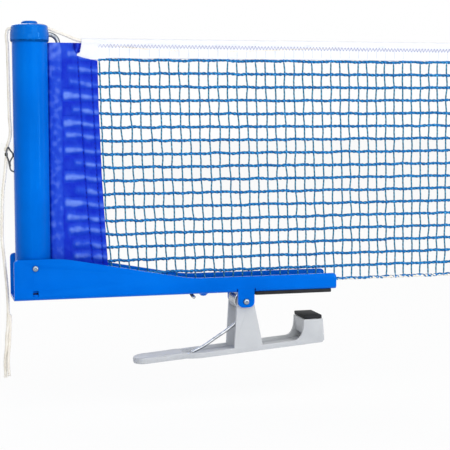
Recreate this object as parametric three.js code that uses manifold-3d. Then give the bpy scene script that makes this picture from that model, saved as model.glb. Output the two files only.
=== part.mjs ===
// Table tennis net clamp: a spring clamp for the table's edge that carries a net post and the net's end.
// Units are millimetres. Z is up and X runs from the post towards the middle of the table.
// The origin is the centre of the table pad's underside, so Z = 0 is the table's top surface.

import * as THREE from 'three';
import { mergeVertices } from 'three/addons/utils/BufferGeometryUtils.js';
import Module from 'manifold-3d';

const wasm = await Module();
wasm.setup();

// ---------------------------------------------------------------- driving dimensions

const gap = 0.3;                    // clearance between pieces that touch or fit in each other

// table pad
const padLength = 48.4;
const padWidth = 23.2;
const padThickness = 2.0;

// channel bracket: pressed sheet, U section, open at the top
const sheet = 1.8;
const bendRadius = 2.2;
const postReach = 131.6;            // table edge to the post's axis
const channelBack = 12.2;           // post axis to the channel's outer end
const channelNose = 2.8;            // pad end to the channel's inner end
const deepHeight = 23.8;
const shallowHeight = 9.6;
const slopeFromPost = 15.6;         // post axis to where the top edge starts to fall
const slopeToEdge = 40.0;           // table edge to where the fall ends
const cornerRadius = 2.4;

// pivot ears and pin
const pivotBack = 6.0;              // table edge to the pivot's axis
const pivotDrop = 3.7;              // table surface to the pivot's axis
const earWidth = 10.2;
const earDrop = 7.2;                // table surface to the ear's lower edge
const earCorner = 3.4;
const reliefWidth = 0.9;
const reliefHeight = 2.3;
const pinRadius = 1.6;
const pinHeadHeight = 0.8;

// post
const postRadius = 10.2;
const postWall = 1.0;
const postBelowNet = 1.7;           // net's upper edge to the tube's upper end
const insertHeight = 23.0;
const rivetHeight = 20.6;
const rivetRadius = 1.2;
const rivetHeadRadius = 1.85;
const rivetHeadHeight = 0.8;
const keyWidth = 3.2;               // lanced tab that keys the tube's foot
const keyTop = 7.8;

// cap
const capRadius = 10.9;
const capLap = 1.1;
const capRise = 9.0;
const capEdge = 2.0;
const capPlugDepth = 8.0;
const capPlugWall = 1.6;
const discRadius = 4.7;
const discHeight = 1.9;
const discChamfer = 0.7;

// net rod
const rodRadius = 1.35;
const rodOffset = 16.3;             // post axis to the rod's upright part
const rodBelowCapTop = 5.5;
const rodBend = 5.2;
const rodStartOffset = 3.4;         // post axis to the rod's end inside the cap
const footLength = 8.6;
const footWidth = 13.0;
const footHeight = 4.8;
const spigotRadius = 2.2;

// cords
const headlineRadius = 1.1;
const headlineBelowCapTop = 2.5;    // cap's top to the headline's passage
const headlineBend = 2.0;
const headlineStandOff = 3.3;       // post's side to the headline's run down it
const bottomCordRadius = 0.9;
const bottomCordHeight = 6.4;
const tailRadius = 1.0;
const tailLength = 98;
const tailEndLength = 31;
const hookHeight = 75.8;            // table surface to the hook's hole in the post
const hookRadius = 0.5;
const knotAboveHook = 12.8;
const knotHalf = 1.5;
const crimpHeight = 2.1;

// net
const netHeight = 152.5;            // table surface to the tape's upper edge
const tapeHeight = 11.5;
const tapeThickness = 1.5;
const tapeHood = 0.5;               // cloth round the headline
const netStart = 39.9;              // post axis to the first column of meshes
const netLength = 225.8;
const netThickness = 1.0;
const netStrand = 1.2;
const netColumns = 19;
const netRows = 9;

// sleeve
const sleeveEar = 8.6;              // the sleeve's corner above the tape's lower edge
const sleeveShoulderDrop = 0.4;     // the sleeve's upper edge beside the tape, below it
const sleeveBottom = 9.2;
const sleeveStart = 10.8;           // post axis to the sleeve's fold
const sleeveNotch = 26.6;           // post axis to the foot of the notch that takes the tape's end
const sleeveRightTop = 38.2;
const sleeveRightBottom = 43.9;
const sleeveCloth = 0.7;
const puckerPitch = 7.9;
const puckerDepth = 0.55;

// torsion spring
const wireRadius = 1.0;
const coilRadius = 5.3;
const coilTurns = 5.25;
const coilHalfLength = 6.9;
const legTilt = 7;                  // degrees, the upper leg's first stretch
const upperLegReach = 30.0;         // pivot axis to the bend of the upper leg
const upperLegSlope = 1.0;
const lowerLegReach = 32.6;
const lowerLegDrop = 31.0;
const lowerLegShift = 2.9;          // how far the lower leg comes in from the coil's end
const spoolRadius = 3.6;

// lever, drawn upright round its pivot and then turned
const boardThickness = 14.1;        // opening of the jaws at rest
const leverTilt = 4.4;              // degrees
const leverHalfWidth = 10.2;
const leverWall = 2.0;
const leverRound = 5.1;
const barBottom = -31.1;
const barHeight = 3.2;
const barFloor = 1.2;
const barWall = 1.8;
const handleEnd = -69.4;
const handleStart = -42.0;
const handleHalfWidth = 7.3;
const handleThickness = 4.1;
const handleBevel = 1.1;
const taperEnd = -29.0;
const legFootLeft = -9.3;
const legFootRight = 9.1;
const jawStart = 36.0;
const jawEnd = 48.2;
const jawPadThickness = 2.2;

// ---------------------------------------------------------------- places worked out from them

const tableEdgeX = -padLength / 2;
const postX = tableEdgeX - postReach;
const pivotX = tableEdgeX - pivotBack;
const pivotZ = -pivotDrop;
const baseZ = padThickness;
const floorZ = baseZ + sheet;
const innerHalf = postRadius + gap;
const outerHalf = innerHalf + sheet;
const leftX = postX - channelBack;
const rightX = tableEdgeX + padLength + channelNose;
const earLeft = pivotX - earWidth / 2;
const earRight = pivotX + earWidth / 2;
const rodX = postX + rodOffset;
const tapeBottom = netHeight - tapeHeight;
const postTop = netHeight - postBelowNet;
const capBottom = postTop - capLap;
const capTop = postTop + capRise;
const rodHeight = capTop - rodBelowCapTop;
const headlineHeight = capTop - headlineBelowCapTop;
const sleeveTop = tapeBottom + sleeveEar;
const sleeveShoulder = tapeBottom - sleeveShoulderDrop;
const headlineInTape = netHeight - tapeHood - headlineRadius - gap;
const netEndX = postX + netStart + netLength;

// ---------------------------------------------------------------- materials

const paint = (color, roughness, metalness) => new THREE.MeshStandardMaterial({ color, roughness, metalness });
const blueSteel = paint('#0a6be0', 0.38, 0.0);
const bluePlastic = paint('#0a62d0', 0.5, 0.0);
const brightSteel = paint('#c9ccd0', 0.18, 1.0);
const greyPlastic = paint('#cbcdd1', 0.5, 0.0);
const blackRubber = paint('#1d1e21', 0.85, 0.0);
const sleeveNylon = paint('#2a3fd0', 0.7, 0.0);
const netNylon = paint('#1a72b5', 0.7, 0.0);
const whiteTape = paint('#eef0f4', 0.8, 0.0);
const creamCord = paint('#ebe4d6', 0.85, 0.0);
const darkMetal = paint('#4a4a48', 0.5, 0.6);

// ---------------------------------------------------------------- helpers

// A closed geometry as a solid that can be cut and joined.
function solid(geometry) {
  const plain = new THREE.BufferGeometry();
  plain.setAttribute('position', geometry.getAttribute('position').clone());
  if (geometry.index) plain.setIndex(geometry.index.clone());
  const merged = mergeVertices(plain, 1e-4);
  const mesh = new wasm.Mesh({
    numProp: 3,
    vertProperties: new Float32Array(merged.attributes.position.array),
    triVerts: new Uint32Array(merged.index.array),
  });
  mesh.merge();
  return new wasm.Manifold(mesh);
}

// A solid back as a geometry.
function surface(body) {
  const mesh = body.getMesh();
  const geometry = new THREE.BufferGeometry();
  geometry.setAttribute('position', new THREE.BufferAttribute(new Float32Array(mesh.vertProperties), 3));
  geometry.setIndex(new THREE.BufferAttribute(new Uint32Array(mesh.triVerts), 1));
  return geometry;
}

function box(x0, x1, y0, y1, z0, z1) {
  const geometry = new THREE.BoxGeometry(x1 - x0, y1 - y0, z1 - z0);
  return geometry.translate((x0 + x1) / 2, (y0 + y1) / 2, (z0 + z1) / 2);
}

// A shape drawn in X and Z, pushed along Y.
function alongY(shape, y0, y1, segments = 8) {
  const geometry = new THREE.ExtrudeGeometry(shape, { depth: y1 - y0, bevelEnabled: false, curveSegments: segments });
  return geometry.rotateX(Math.PI / 2).translate(0, y1, 0);
}

// A shape drawn in Y and Z, pushed along X.
function alongX(shape, x0, x1, segments = 5) {
  const geometry = new THREE.ExtrudeGeometry(shape, { depth: x1 - x0, bevelEnabled: false, curveSegments: segments });
  const turn = new THREE.Matrix4().set(0, 0, 1, 0, 1, 0, 0, 0, 0, 1, 0, 0, 0, 0, 0, 1);
  return geometry.applyMatrix4(turn).translate(x0, 0, 0);
}

// A turned piece: the profile is a list of [radius, height], and the axis points along 'x', 'y' or 'z'.
function turned(profile, sides, axis = 'z') {
  const points = profile.map(([r, h]) => new THREE.Vector2(r, h));
  const geometry = new THREE.LatheGeometry(points, sides);
  if (axis === 'z') geometry.rotateX(Math.PI / 2);
  if (axis === 'x') geometry.rotateZ(-Math.PI / 2);
  return facingOut(geometry);
}

function rod(radius, from, to, sides, axis = 'z') {
  return turned([[0, from], [radius, from], [radius, to], [0, to]], sides, axis);
}

function signedVolume(geometry) {
  const position = geometry.getAttribute('position');
  const index = geometry.index;
  const count = index ? index.count : position.count;
  const corner = [new THREE.Vector3(), new THREE.Vector3(), new THREE.Vector3()];
  let volume = 0;
  for (let i = 0; i < count; i += 3) {
    for (let k = 0; k < 3; k += 1) corner[k].fromBufferAttribute(position, index ? index.getX(i + k) : i + k);
    volume += corner[0].dot(corner[1].cross(corner[2])) / 6;
  }
  return volume;
}

// Turns every triangle round if the surface is inside out.
function facingOut(geometry) {
  if (signedVolume(geometry) > 0) return geometry;
  if (!geometry.index) {
    const count = geometry.getAttribute('position').count;
    geometry.setIndex([...Array(count).keys()]);
  }
  const index = geometry.index;
  for (let i = 0; i < index.count; i += 3) {
    const kept = index.getX(i);
    index.setX(i, index.getX(i + 1));
    index.setX(i + 1, kept);
  }
  return geometry;
}

// Skins closed rings of points, one after another, and closes both ends with a fan.
function skin(rings) {
  const sides = rings[0].length;
  const corners = rings.flat();
  const triangles = [];
  for (let i = 0; i + 1 < rings.length; i += 1) {
    for (let k = 0; k < sides; k += 1) {
      const a = i * sides + k;
      const b = i * sides + (k + 1) % sides;
      triangles.push(a, b, a + sides, b, b + sides, a + sides);
    }
  }
  const last = (rings.length - 1) * sides;
  for (let k = 1; k + 1 < sides; k += 1) {
    triangles.push(0, k + 1, k, last, last + k, last + k + 1);
  }
  const geometry = new THREE.BufferGeometry();
  geometry.setAttribute('position', new THREE.Float32BufferAttribute(corners.flatMap((p) => [p.x, p.y, p.z]), 3));
  geometry.setIndex(triangles);
  return facingOut(geometry);
}

// One unbroken round wire through the given points, with a ring at each of them.
function wire(points, radius, sides) {
  const tangents = points.map((point, i) => {
    const before = points[Math.max(i - 1, 0)];
    const after = points[Math.min(i + 1, points.length - 1)];
    return after.clone().sub(before).normalize();
  });
  let normal = new THREE.Vector3(0, 1, 0);
  if (Math.abs(tangents[0].y) > 0.9) normal = new THREE.Vector3(0, 0, 1);
  const rings = points.map((point, i) => {
    normal.addScaledVector(tangents[i], -normal.dot(tangents[i])).normalize();
    const across = tangents[i].clone().cross(normal);
    const ring = [];
    for (let k = 0; k < sides; k += 1) {
      const angle = 2 * Math.PI * k / sides;
      ring.push(point.clone()
        .addScaledVector(normal, radius * Math.cos(angle))
        .addScaledVector(across, radius * Math.sin(angle)));
    }
    return ring;
  });
  return skin(rings);
}

const at = (x, y, z) => new THREE.Vector3(x, y, z);

// Points along an arc in the X and Z plane, from one angle to the other, angles in degrees from +X.
function arc(x, z, radius, from, to, steps, y = 0) {
  const points = [];
  for (let i = 0; i <= steps; i += 1) {
    const angle = THREE.MathUtils.degToRad(from + (to - from) * i / steps);
    points.push(at(x + radius * Math.cos(angle), y, z + radius * Math.sin(angle)));
  }
  return points;
}

const group = new THREE.Group();

function add(name, geometry, material, parent = group) {
  const mesh = new THREE.Mesh(geometry, material);
  mesh.name = name;
  parent.add(mesh);
  return mesh;
}

// ---------------------------------------------------------------- channel bracket

function channelSection() {
  const high = baseZ + deepHeight;
  const inner = bendRadius - sheet;
  const shape = new THREE.Shape();
  shape.moveTo(-outerHalf, high);
  shape.lineTo(-outerHalf, baseZ + bendRadius);
  shape.absarc(-outerHalf + bendRadius, baseZ + bendRadius, bendRadius, Math.PI, 1.5 * Math.PI);
  shape.lineTo(outerHalf - bendRadius, baseZ);
  shape.absarc(outerHalf - bendRadius, baseZ + bendRadius, bendRadius, -0.5 * Math.PI, 0);
  shape.lineTo(outerHalf, high);
  shape.lineTo(innerHalf, high);
  shape.absarc(innerHalf - inner, floorZ + inner, inner, 0, -0.5 * Math.PI, true);
  shape.absarc(-innerHalf + inner, floorZ + inner, inner, -0.5 * Math.PI, -Math.PI, true);
  shape.lineTo(-innerHalf, high);
  return shape;
}

function channelProfile() {
  const deep = baseZ + deepHeight;
  const shallow = baseZ + shallowHeight;
  const fallStart = postX + slopeFromPost;
  const fallEnd = tableEdgeX - slopeToEdge;
  const ease = 7;
  const fall = (deep - shallow) / (fallEnd - fallStart);
  const shape = new THREE.Shape();
  shape.moveTo(leftX, baseZ);
  shape.lineTo(leftX, deep - cornerRadius);
  shape.absarc(leftX + cornerRadius, deep - cornerRadius, cornerRadius, Math.PI, 0.5 * Math.PI, true);
  shape.lineTo(fallStart - ease, deep);
  shape.quadraticCurveTo(fallStart, deep, fallStart + ease, deep - fall * ease);
  shape.lineTo(fallEnd - ease, shallow + fall * ease);
  shape.quadraticCurveTo(fallEnd, shallow, fallEnd + ease, shallow);
  shape.lineTo(rightX - cornerRadius, shallow);
  shape.absarc(rightX - cornerRadius, shallow - cornerRadius, cornerRadius, 0.5 * Math.PI, 0, true);
  shape.lineTo(rightX, baseZ);
  return shape;
}

function earShape() {
  const shape = new THREE.Shape();
  shape.moveTo(earLeft, baseZ + bendRadius);
  shape.lineTo(earLeft, -earDrop + earCorner);
  shape.absarc(earLeft + earCorner, -earDrop + earCorner, earCorner, Math.PI, 1.5 * Math.PI);
  shape.absarc(earRight - earCorner, -earDrop + earCorner, earCorner, -0.5 * Math.PI, 0);
  shape.lineTo(earRight, baseZ + bendRadius);
  return shape;
}

// Window in the channel's floor for the coil and the upper leg's first stretch.
const windowLeft = pivotX - 9.4;
const windowRight = pivotX + 5.2;
const windowHalf = innerHalf - 1.9;
const lugX = pivotX - 25.4;
const lugY = -7.2;
const lugRadius = 3.2;
const lugDepth = 1.9;

function channelBracket() {
  let body = solid(alongX(channelSection(), leftX, rightX));
  body = body.intersect(solid(alongY(channelProfile(), -outerHalf - 1, outerHalf + 1, 5)));
  for (const side of [-1, 1]) {
    const from = side < 0 ? -outerHalf : innerHalf;
    body = body.add(solid(alongY(earShape(), from, from + sheet, 5)));
    for (const x of [earLeft - reliefWidth, earRight]) {
      const edge = box(x, x + reliefWidth, side * outerHalf - 1.5 * sheet, side * outerHalf + 1.5 * sheet,
        baseZ - 1, baseZ + reliefHeight);
      body = body.subtract(solid(edge));
    }
    // slot with a tab pushed inwards, which keys the tube's foot
    const plate = side * (innerHalf + sheet / 2);
    body = body.subtract(solid(box(postX - keyWidth / 2, postX + keyWidth / 2, plate - sheet, plate + sheet,
      floorZ + 0.6, keyTop)));
    const tabFrom = Math.min(side * (outerHalf - 0.6), side * (innerHalf - 1.1));
    const tabTo = Math.max(side * (outerHalf - 0.6), side * (innerHalf - 1.1));
    body = body.add(solid(box(postX - keyWidth / 2 + 0.2, postX + keyWidth / 2 - 0.2, tabFrom, tabTo,
      floorZ - 0.2, floorZ + 1.6)));
  }
  const across = outerHalf + 2;
  body = body.subtract(solid(rod(pinRadius + gap, -across, across, 20, 'y').translate(pivotX, 0, pivotZ)));
  body = body.subtract(solid(rod(rivetRadius + gap, -across, across, 16, 'y').translate(postX, 0, rivetHeight)));
  body = body.subtract(solid(box(windowLeft, windowRight, -windowHalf, windowHalf, baseZ - 1, floorZ + 1)));
  body = body.subtract(solid(rod(spigotRadius + gap, baseZ - 1, floorZ + 1, 16).translate(rodX, 0, 0)));
  // lug pressed down out of the floor, behind which the spring's cross end lies
  const dome = [[0, -lugDepth], [0.5 * lugRadius, -0.8 * lugDepth], [lugRadius, 0]];
  const outer = [...dome, [lugRadius, 0.6 * sheet], [0, 0.6 * sheet]];
  body = body.add(solid(turned(outer, 16).translate(lugX, lugY, baseZ)));
  const inner = [[0, 0.4 * sheet - lugDepth], [0.35 * lugRadius, 0.4 * sheet - 0.7 * lugDepth],
    [0.7 * lugRadius, sheet + 0.01], [0.7 * lugRadius, 2 * sheet], [0, 2 * sheet]];
  return body.subtract(solid(turned(inner, 16).translate(lugX, lugY, baseZ)));
}

// ---------------------------------------------------------------- pad, post, cap and rod

function tablePad() {
  const round = 1.2;
  const halfLength = padLength / 2;
  const halfWidth = padWidth / 2;
  const shape = new THREE.Shape();
  shape.moveTo(-halfLength + round, -halfWidth);
  shape.absarc(halfLength - round, -halfWidth + round, round, -0.5 * Math.PI, 0);
  shape.absarc(halfLength - round, halfWidth - round, round, 0, 0.5 * Math.PI);
  shape.absarc(-halfLength + round, halfWidth - round, round, 0.5 * Math.PI, Math.PI);
  shape.absarc(-halfLength + round, -halfWidth + round, round, Math.PI, 1.5 * Math.PI);
  return new THREE.ExtrudeGeometry(shape, { depth: padThickness, bevelEnabled: false, curveSegments: 4 });
}

const footZ = floorZ + gap;
const boreRadius = postRadius - postWall;

function postTube() {
  const wall = [[boreRadius, footZ], [postRadius, footZ], [postRadius, postTop], [boreRadius, postTop],
    [boreRadius, footZ]];
  let body = solid(turned(wall, 40).translate(postX, 0, 0));
  const across = postRadius + 2;
  body = body.subtract(solid(rod(rivetRadius + gap, -across, across, 16, 'y').translate(postX, 0, rivetHeight)));
  body = body.subtract(solid(box(postX - keyWidth / 2 - gap, postX + keyWidth / 2 + gap, -across, across,
    footZ - 1, floorZ + 2.4)));
  const hookHole = rod(hookRadius + 2 * gap, -across, 0, 12, 'x').translate(postX, 0, hookHeight);
  return body.subtract(solid(hookHole));
}

function postInsert() {
  const radius = boreRadius - gap;
  const chamfer = 0.8;
  const plug = [[0, footZ], [radius, footZ], [radius, footZ + insertHeight - chamfer],
    [radius - chamfer, footZ + insertHeight], [0, footZ + insertHeight]];
  const body = solid(turned(plug, 32).translate(postX, 0, 0));
  const across = postRadius;
  return body.subtract(solid(rod(rivetRadius + gap, -across, across, 16, 'y').translate(postX, 0, rivetHeight)));
}

// A rivet along Y with a domed head at each end.
function rivet(shank, head, headHeight, reach, sides) {
  const seat = reach + gap;
  const profile = [[0, -seat - headHeight], [0.6 * head, -seat - 0.75 * headHeight], [head, -seat],
    [shank, -seat], [shank, seat], [head, seat], [0.6 * head, seat + 0.75 * headHeight],
    [0, seat + headHeight]];
  return turned(profile, sides, 'y');
}

function postCap() {
  const plugOuter = boreRadius - gap;
  const plugInner = plugOuter - capPlugWall;
  const plugBottom = capBottom - capPlugDepth;
  const roof = postTop + gap;
  const profile = [
    [0, roof + 0.4], [plugInner, roof + 0.4], [plugInner, plugBottom], [plugOuter, plugBottom],
    [plugOuter, roof], [postRadius + gap, roof], [postRadius + gap, capBottom], [capRadius, capBottom],
    [capRadius, capTop - capEdge], [capRadius - 0.3 * capEdge, capTop - 0.3 * capEdge],
    [capRadius - capEdge, capTop], [discRadius, capTop], [discRadius, capTop + discHeight - discChamfer],
    [discRadius - discChamfer, capTop + discHeight], [0, capTop + discHeight],
  ];
  let body = solid(turned(profile, 40).translate(postX, 0, 0));
  const across = capRadius + 2;
  const cordBore = rod(headlineRadius + gap, -across, across, 12, 'x').translate(postX, 0, headlineHeight);
  const rodBore = rod(rodRadius + gap, rodStartOffset - gap, across, 12, 'x').translate(postX, 0, rodHeight);
  body = body.subtract(solid(cordBore));
  return body.subtract(solid(rodBore));
}

function netRod() {
  const points = [
    at(postX + rodStartOffset, 0, rodHeight),
    ...arc(rodX - rodBend, rodHeight - rodBend, rodBend, 90, 0, 6),
    at(rodX, 0, floorZ + gap + 1),
  ];
  return wire(points, rodRadius, 10);
}

function rodFoot() {
  const low = floorZ + gap;
  const left = rodX - footLength / 2;
  let body = solid(box(left, left + footLength, -footWidth / 2, footWidth / 2, low, low + footHeight));
  body = body.add(solid(rod(spigotRadius, baseZ + 0.2, low + 0.5, 16).translate(rodX, 0, 0)));
  body = body.subtract(solid(rod(rodRadius + gap, low + 0.6, low + footHeight + 1, 12).translate(rodX, 0, 0)));
  const cordHole = rod(bottomCordRadius + gap, 2.4, footLength, 12, 'x').translate(rodX, 0, bottomCordHeight);
  return body.subtract(solid(cordHole));
}

// ---------------------------------------------------------------- spring and its spool

function spool() {
  const half = leverHalfWidth - leverWall - gap;
  const ring = [[pinRadius + gap, -half], [spoolRadius, -half], [spoolRadius, half], [pinRadius + gap, half],
    [pinRadius + gap, -half]];
  return turned(ring, 20, 'y').translate(pivotX, 0, pivotZ);
}

function springPoints() {
  const tilt = THREE.MathUtils.degToRad(legTilt);
  const underBase = baseZ - wireRadius - gap - 0.05;
  const startX = pivotX - coilRadius * Math.sin(tilt);
  const startZ = pivotZ + coilRadius * Math.cos(tilt);
  const kneeX = startX - (startZ - underBase) / Math.tan(tilt);
  const legX = pivotX - upperLegReach;
  const far = coilHalfLength;
  const crossBend = 1.8;
  const points = [
    at(legX - 0.7 * crossBend, -far - 1.5 * wireRadius, underBase - upperLegSlope),
    at(legX - 0.6 * crossBend, -0.4 * far, underBase - 0.7 * upperLegSlope),
    at(legX - 0.3 * crossBend, far - 2 * crossBend, underBase - 0.2 * upperLegSlope),
    at(legX, far - 0.3 * crossBend, underBase),
    at(legX + crossBend, far, underBase),
    at(kneeX, far, underBase),
    at((kneeX + startX) / 2, far, (underBase + startZ) / 2),
  ];
  const steps = 8 * coilTurns;
  for (let i = 0; i <= steps; i += 1) {
    const turn = -tilt + (2 * Math.PI * coilTurns + tilt) * i / steps;
    const y = far - 2 * far * i / steps;
    points.push(at(pivotX + coilRadius * Math.sin(turn), y, pivotZ + coilRadius * Math.cos(turn)));
  }
  // lower leg: straight down from the coil, then a long bow into the lever's trough
  // shares of the leg's reach back from the coil, of its drop, and of its shift inwards
  const bow = [[0, 0.09, 0], [0.016, 0.187, 0], [0.071, 0.287, 0], [0.153, 0.377, 0.03], [0.272, 0.471, 0.1],
    [0.427, 0.61, 0.24], [0.591, 0.732, 0.41], [0.794, 0.887, 0.69], [1, 1, 1]];
  for (const [back, down, inward] of bow) {
    const dx = coilRadius - back * (coilRadius + lowerLegReach);
    points.push(at(pivotX + dx, inward * lowerLegShift - far, pivotZ - down * lowerLegDrop));
  }
  return points;
}

// Least distance between stretches of the wire that aren't neighbours along it.
function leastWireGap(points) {
  const apart = 6;
  let least = Infinity;
  const dense = [];
  for (let i = 0; i + 1 < points.length; i += 1) {
    for (let k = 0; k < 4; k += 1) dense.push(points[i].clone().lerp(points[i + 1], k / 4));
  }
  for (let i = 0; i < dense.length; i += 1) {
    for (let k = i + 4 * apart; k < dense.length; k += 1) {
      least = Math.min(least, dense[i].distanceTo(dense[k]) - 2 * wireRadius);
    }
  }
  return least;
}

// ---------------------------------------------------------------- lever and its pad, in the lever's own frame

const tilt = THREE.MathUtils.degToRad(leverTilt);
const jawFaceZ = -boardThickness;
const jawSeatZ = jawFaceZ - jawPadThickness - gap;

// Height in the lever's frame of the level line z at the distance u along the bar.
const levelAt = (u, z) => (z - pivotZ - u * Math.sin(tilt)) / Math.cos(tilt);

function barPlan(inset, from, to) {
  const half = leverHalfWidth - inset;
  const slim = handleHalfWidth - inset;
  const shape = new THREE.Shape();
  shape.moveTo(from, -slim);
  shape.bezierCurveTo(from + 6, -slim, taperEnd - 6, -half, taperEnd, -half);
  shape.lineTo(to, -half);
  shape.lineTo(to, half);
  shape.lineTo(taperEnd, half);
  shape.bezierCurveTo(taperEnd - 6, half, from + 6, slim, from, slim);
  return shape;
}

function handlePlan() {
  const half = handleHalfWidth - handleBevel;
  const end = handleEnd + handleBevel;
  const shape = new THREE.Shape();
  shape.moveTo(handleStart + 1.5, -half);
  shape.lineTo(handleStart + 1.5, half);
  shape.lineTo(end + half, half);
  shape.absarc(end + half, 0, half, 0.5 * Math.PI, 1.5 * Math.PI);
  return shape;
}

function legShape() {
  const shape = new THREE.Shape();
  shape.moveTo(legFootLeft, barBottom + 1);
  shape.lineTo(legFootRight, barBottom + 1);
  shape.lineTo(leverRound, 0);
  shape.absarc(0, 0, leverRound, 0, Math.PI);
  return shape;
}

function jawShape(inset) {
  const top = (u) => levelAt(u, jawSeatZ) - inset;
  const shape = new THREE.Shape();
  shape.moveTo(jawStart - 6 + inset, barBottom + inset);
  shape.lineTo(jawStart - 6 + inset, barBottom + barHeight);
  shape.quadraticCurveTo(jawStart - 0.5 + inset, barBottom + barHeight + 1, jawStart + inset, top(jawStart));
  shape.lineTo(jawEnd - inset, top(jawEnd));
  shape.lineTo(jawEnd - inset, barBottom + 1.5 + inset);
  shape.lineTo(jawEnd - 1.5 - inset, barBottom + inset);
  return shape;
}

function clampLever() {
  const along = (shape, low, high) => {
    const geometry = new THREE.ExtrudeGeometry(shape, { depth: high - low, bevelEnabled: false, curveSegments: 5 });
    return geometry.translate(0, 0, low);
  };
  let body = solid(along(barPlan(0, handleStart, jawEnd - 4), barBottom, barBottom + barHeight));
  body = body.add(solid(alongY(jawShape(0), -leverHalfWidth, leverHalfWidth, 6)));
  body = body.subtract(solid(along(barPlan(barWall, handleStart + barWall, jawStart), barBottom + barFloor, 0)));
  const hollow = leverHalfWidth - barWall;
  body = body.subtract(solid(alongY(jawShape(barWall), -hollow, hollow, 6)));
  const handle = new THREE.ExtrudeGeometry(handlePlan(), {
    depth: handleThickness - 2 * handleBevel,
    bevelThickness: handleBevel,
    bevelSize: handleBevel,
    bevelSegments: 2,
    curveSegments: 8,
  });
  body = body.add(solid(handle.translate(0, 0, barBottom + handleBevel)));
  for (const from of [-leverHalfWidth, leverHalfWidth - leverWall]) {
    body = body.add(solid(alongY(legShape(), from, from + leverWall, 8)));
  }
  return body.subtract(solid(rod(pinRadius + gap, -leverHalfWidth - 1, leverHalfWidth + 1, 20, 'y')));
}

// The pad lies on the jaw, with its upper face level at rest.
function jawPad() {
  const low = levelAt(0, jawFaceZ - jawPadThickness);
  const high = levelAt(0, jawFaceZ);
  const slope = Math.tan(tilt);
  const shape = new THREE.Shape();
  shape.moveTo(jawStart + 0.4, low - (jawStart + 0.4) * slope);
  shape.lineTo(jawEnd - 0.4, low - (jawEnd - 0.4) * slope);
  shape.lineTo(jawEnd - 0.4, high - (jawEnd - 0.4) * slope);
  shape.lineTo(jawStart + 0.4, high - (jawStart + 0.4) * slope);
  return alongY(shape, -leverHalfWidth + 0.4, leverHalfWidth - 0.4);
}

// ---------------------------------------------------------------- sleeve, net and tape

const sleeveRight = (z) => {
  const share = (netHeight - z) / netHeight;
  return postX + sleeveRightTop + (sleeveRightBottom - sleeveRightTop) * share;
};

function sleeveRing(z, shift) {
  const right = sleeveRight(z);
  const left = postX + sleeveStart;
  const pocket = rodRadius + gap + sleeveCloth;
  const half = [
    [left, 0.02], [left + 1.4, 0.6 * pocket], [rodX - 1.6, pocket], [rodX + 1.6, pocket],
    [rodX + 5.5, 0.5 * pocket], [right - 8.5, sleeveCloth], [right - 5.5, 1.4 * sleeveCloth],
    [right - 2.6, sleeveCloth], [right, 0.8 * sleeveCloth],
  ];
  const sway = (x) => shift * THREE.MathUtils.smoothstep(x, rodX + 1.6, rodX + 8);
  const front = half.map(([x, y]) => at(x, sway(x) - y, z));
  const back = half.slice(1).reverse().map(([x, y]) => at(x, sway(x) + y, z));
  return [...front, ...back];
}

function netSleeve() {
  const rings = [];
  const levels = Math.round((sleeveTop - sleeveBottom) / puckerPitch) * 2;
  for (let i = 0; i <= levels; i += 1) {
    const z = sleeveBottom + (sleeveTop - sleeveBottom) * i / levels;
    rings.push(sleeveRing(z, i % 2 ? puckerDepth : -puckerDepth));
  }
  let body = solid(skin(rings));
  body = body.subtract(solid(rod(rodRadius + gap, sleeveBottom - 1, sleeveTop + 1, 10).translate(rodX, 0, 0)));
  // stepped upper edge with the notch for the tape's end
  const notch = new THREE.Shape();
  notch.moveTo(postX + sleeveNotch, sleeveShoulder);
  notch.lineTo(postX + sleeveRightBottom + 2, sleeveShoulder);
  notch.lineTo(postX + sleeveRightBottom + 2, sleeveTop + 2);
  notch.lineTo(postX + sleeveNotch + 3.4, sleeveTop + 2);
  notch.lineTo(postX + sleeveNotch, sleeveShoulder + 3.2);
  return body.subtract(solid(alongY(notch, -5, 5)));
}

const netTop = tapeBottom - gap;
const netBottom = bottomCordHeight + bottomCordRadius + gap;

function netMesh() {
  const leftAt = (z) => sleeveRight(z) + puckerDepth + gap;
  const right = netEndX;
  const outline = new THREE.Shape();
  outline.moveTo(leftAt(netBottom), netBottom);
  outline.lineTo(right, netBottom);
  outline.lineTo(right, netTop);
  outline.lineTo(leftAt(netTop), netTop);
  const half = netStrand / 2;
  const firstX = postX + netStart;
  const pitchX = (right - half - firstX) / netColumns;
  const pitchZ = (netTop - netBottom - netStrand) / netRows;
  const reach = netThickness;
  let body = solid(alongY(outline, -netThickness / 2, netThickness / 2));
  for (let i = 0; i < netColumns; i += 1) {
    for (let k = 0; k < netRows; k += 1) {
      const low = netBottom + half + k * pitchZ + half;
      const high = low + pitchZ - netStrand;
      const rightEdge = firstX + (i + 1) * pitchX - half;
      const lowLeft = i ? firstX + i * pitchX + half : leftAt(low) + netStrand;
      const highLeft = i ? lowLeft : leftAt(high) + netStrand;
      const hole = new THREE.Shape();
      hole.moveTo(lowLeft, low);
      hole.lineTo(highLeft, high);
      hole.lineTo(rightEdge, high);
      hole.lineTo(rightEdge, low);
      body = body.subtract(solid(alongY(hole, -reach, reach)));
    }
  }
  return body;
}

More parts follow.
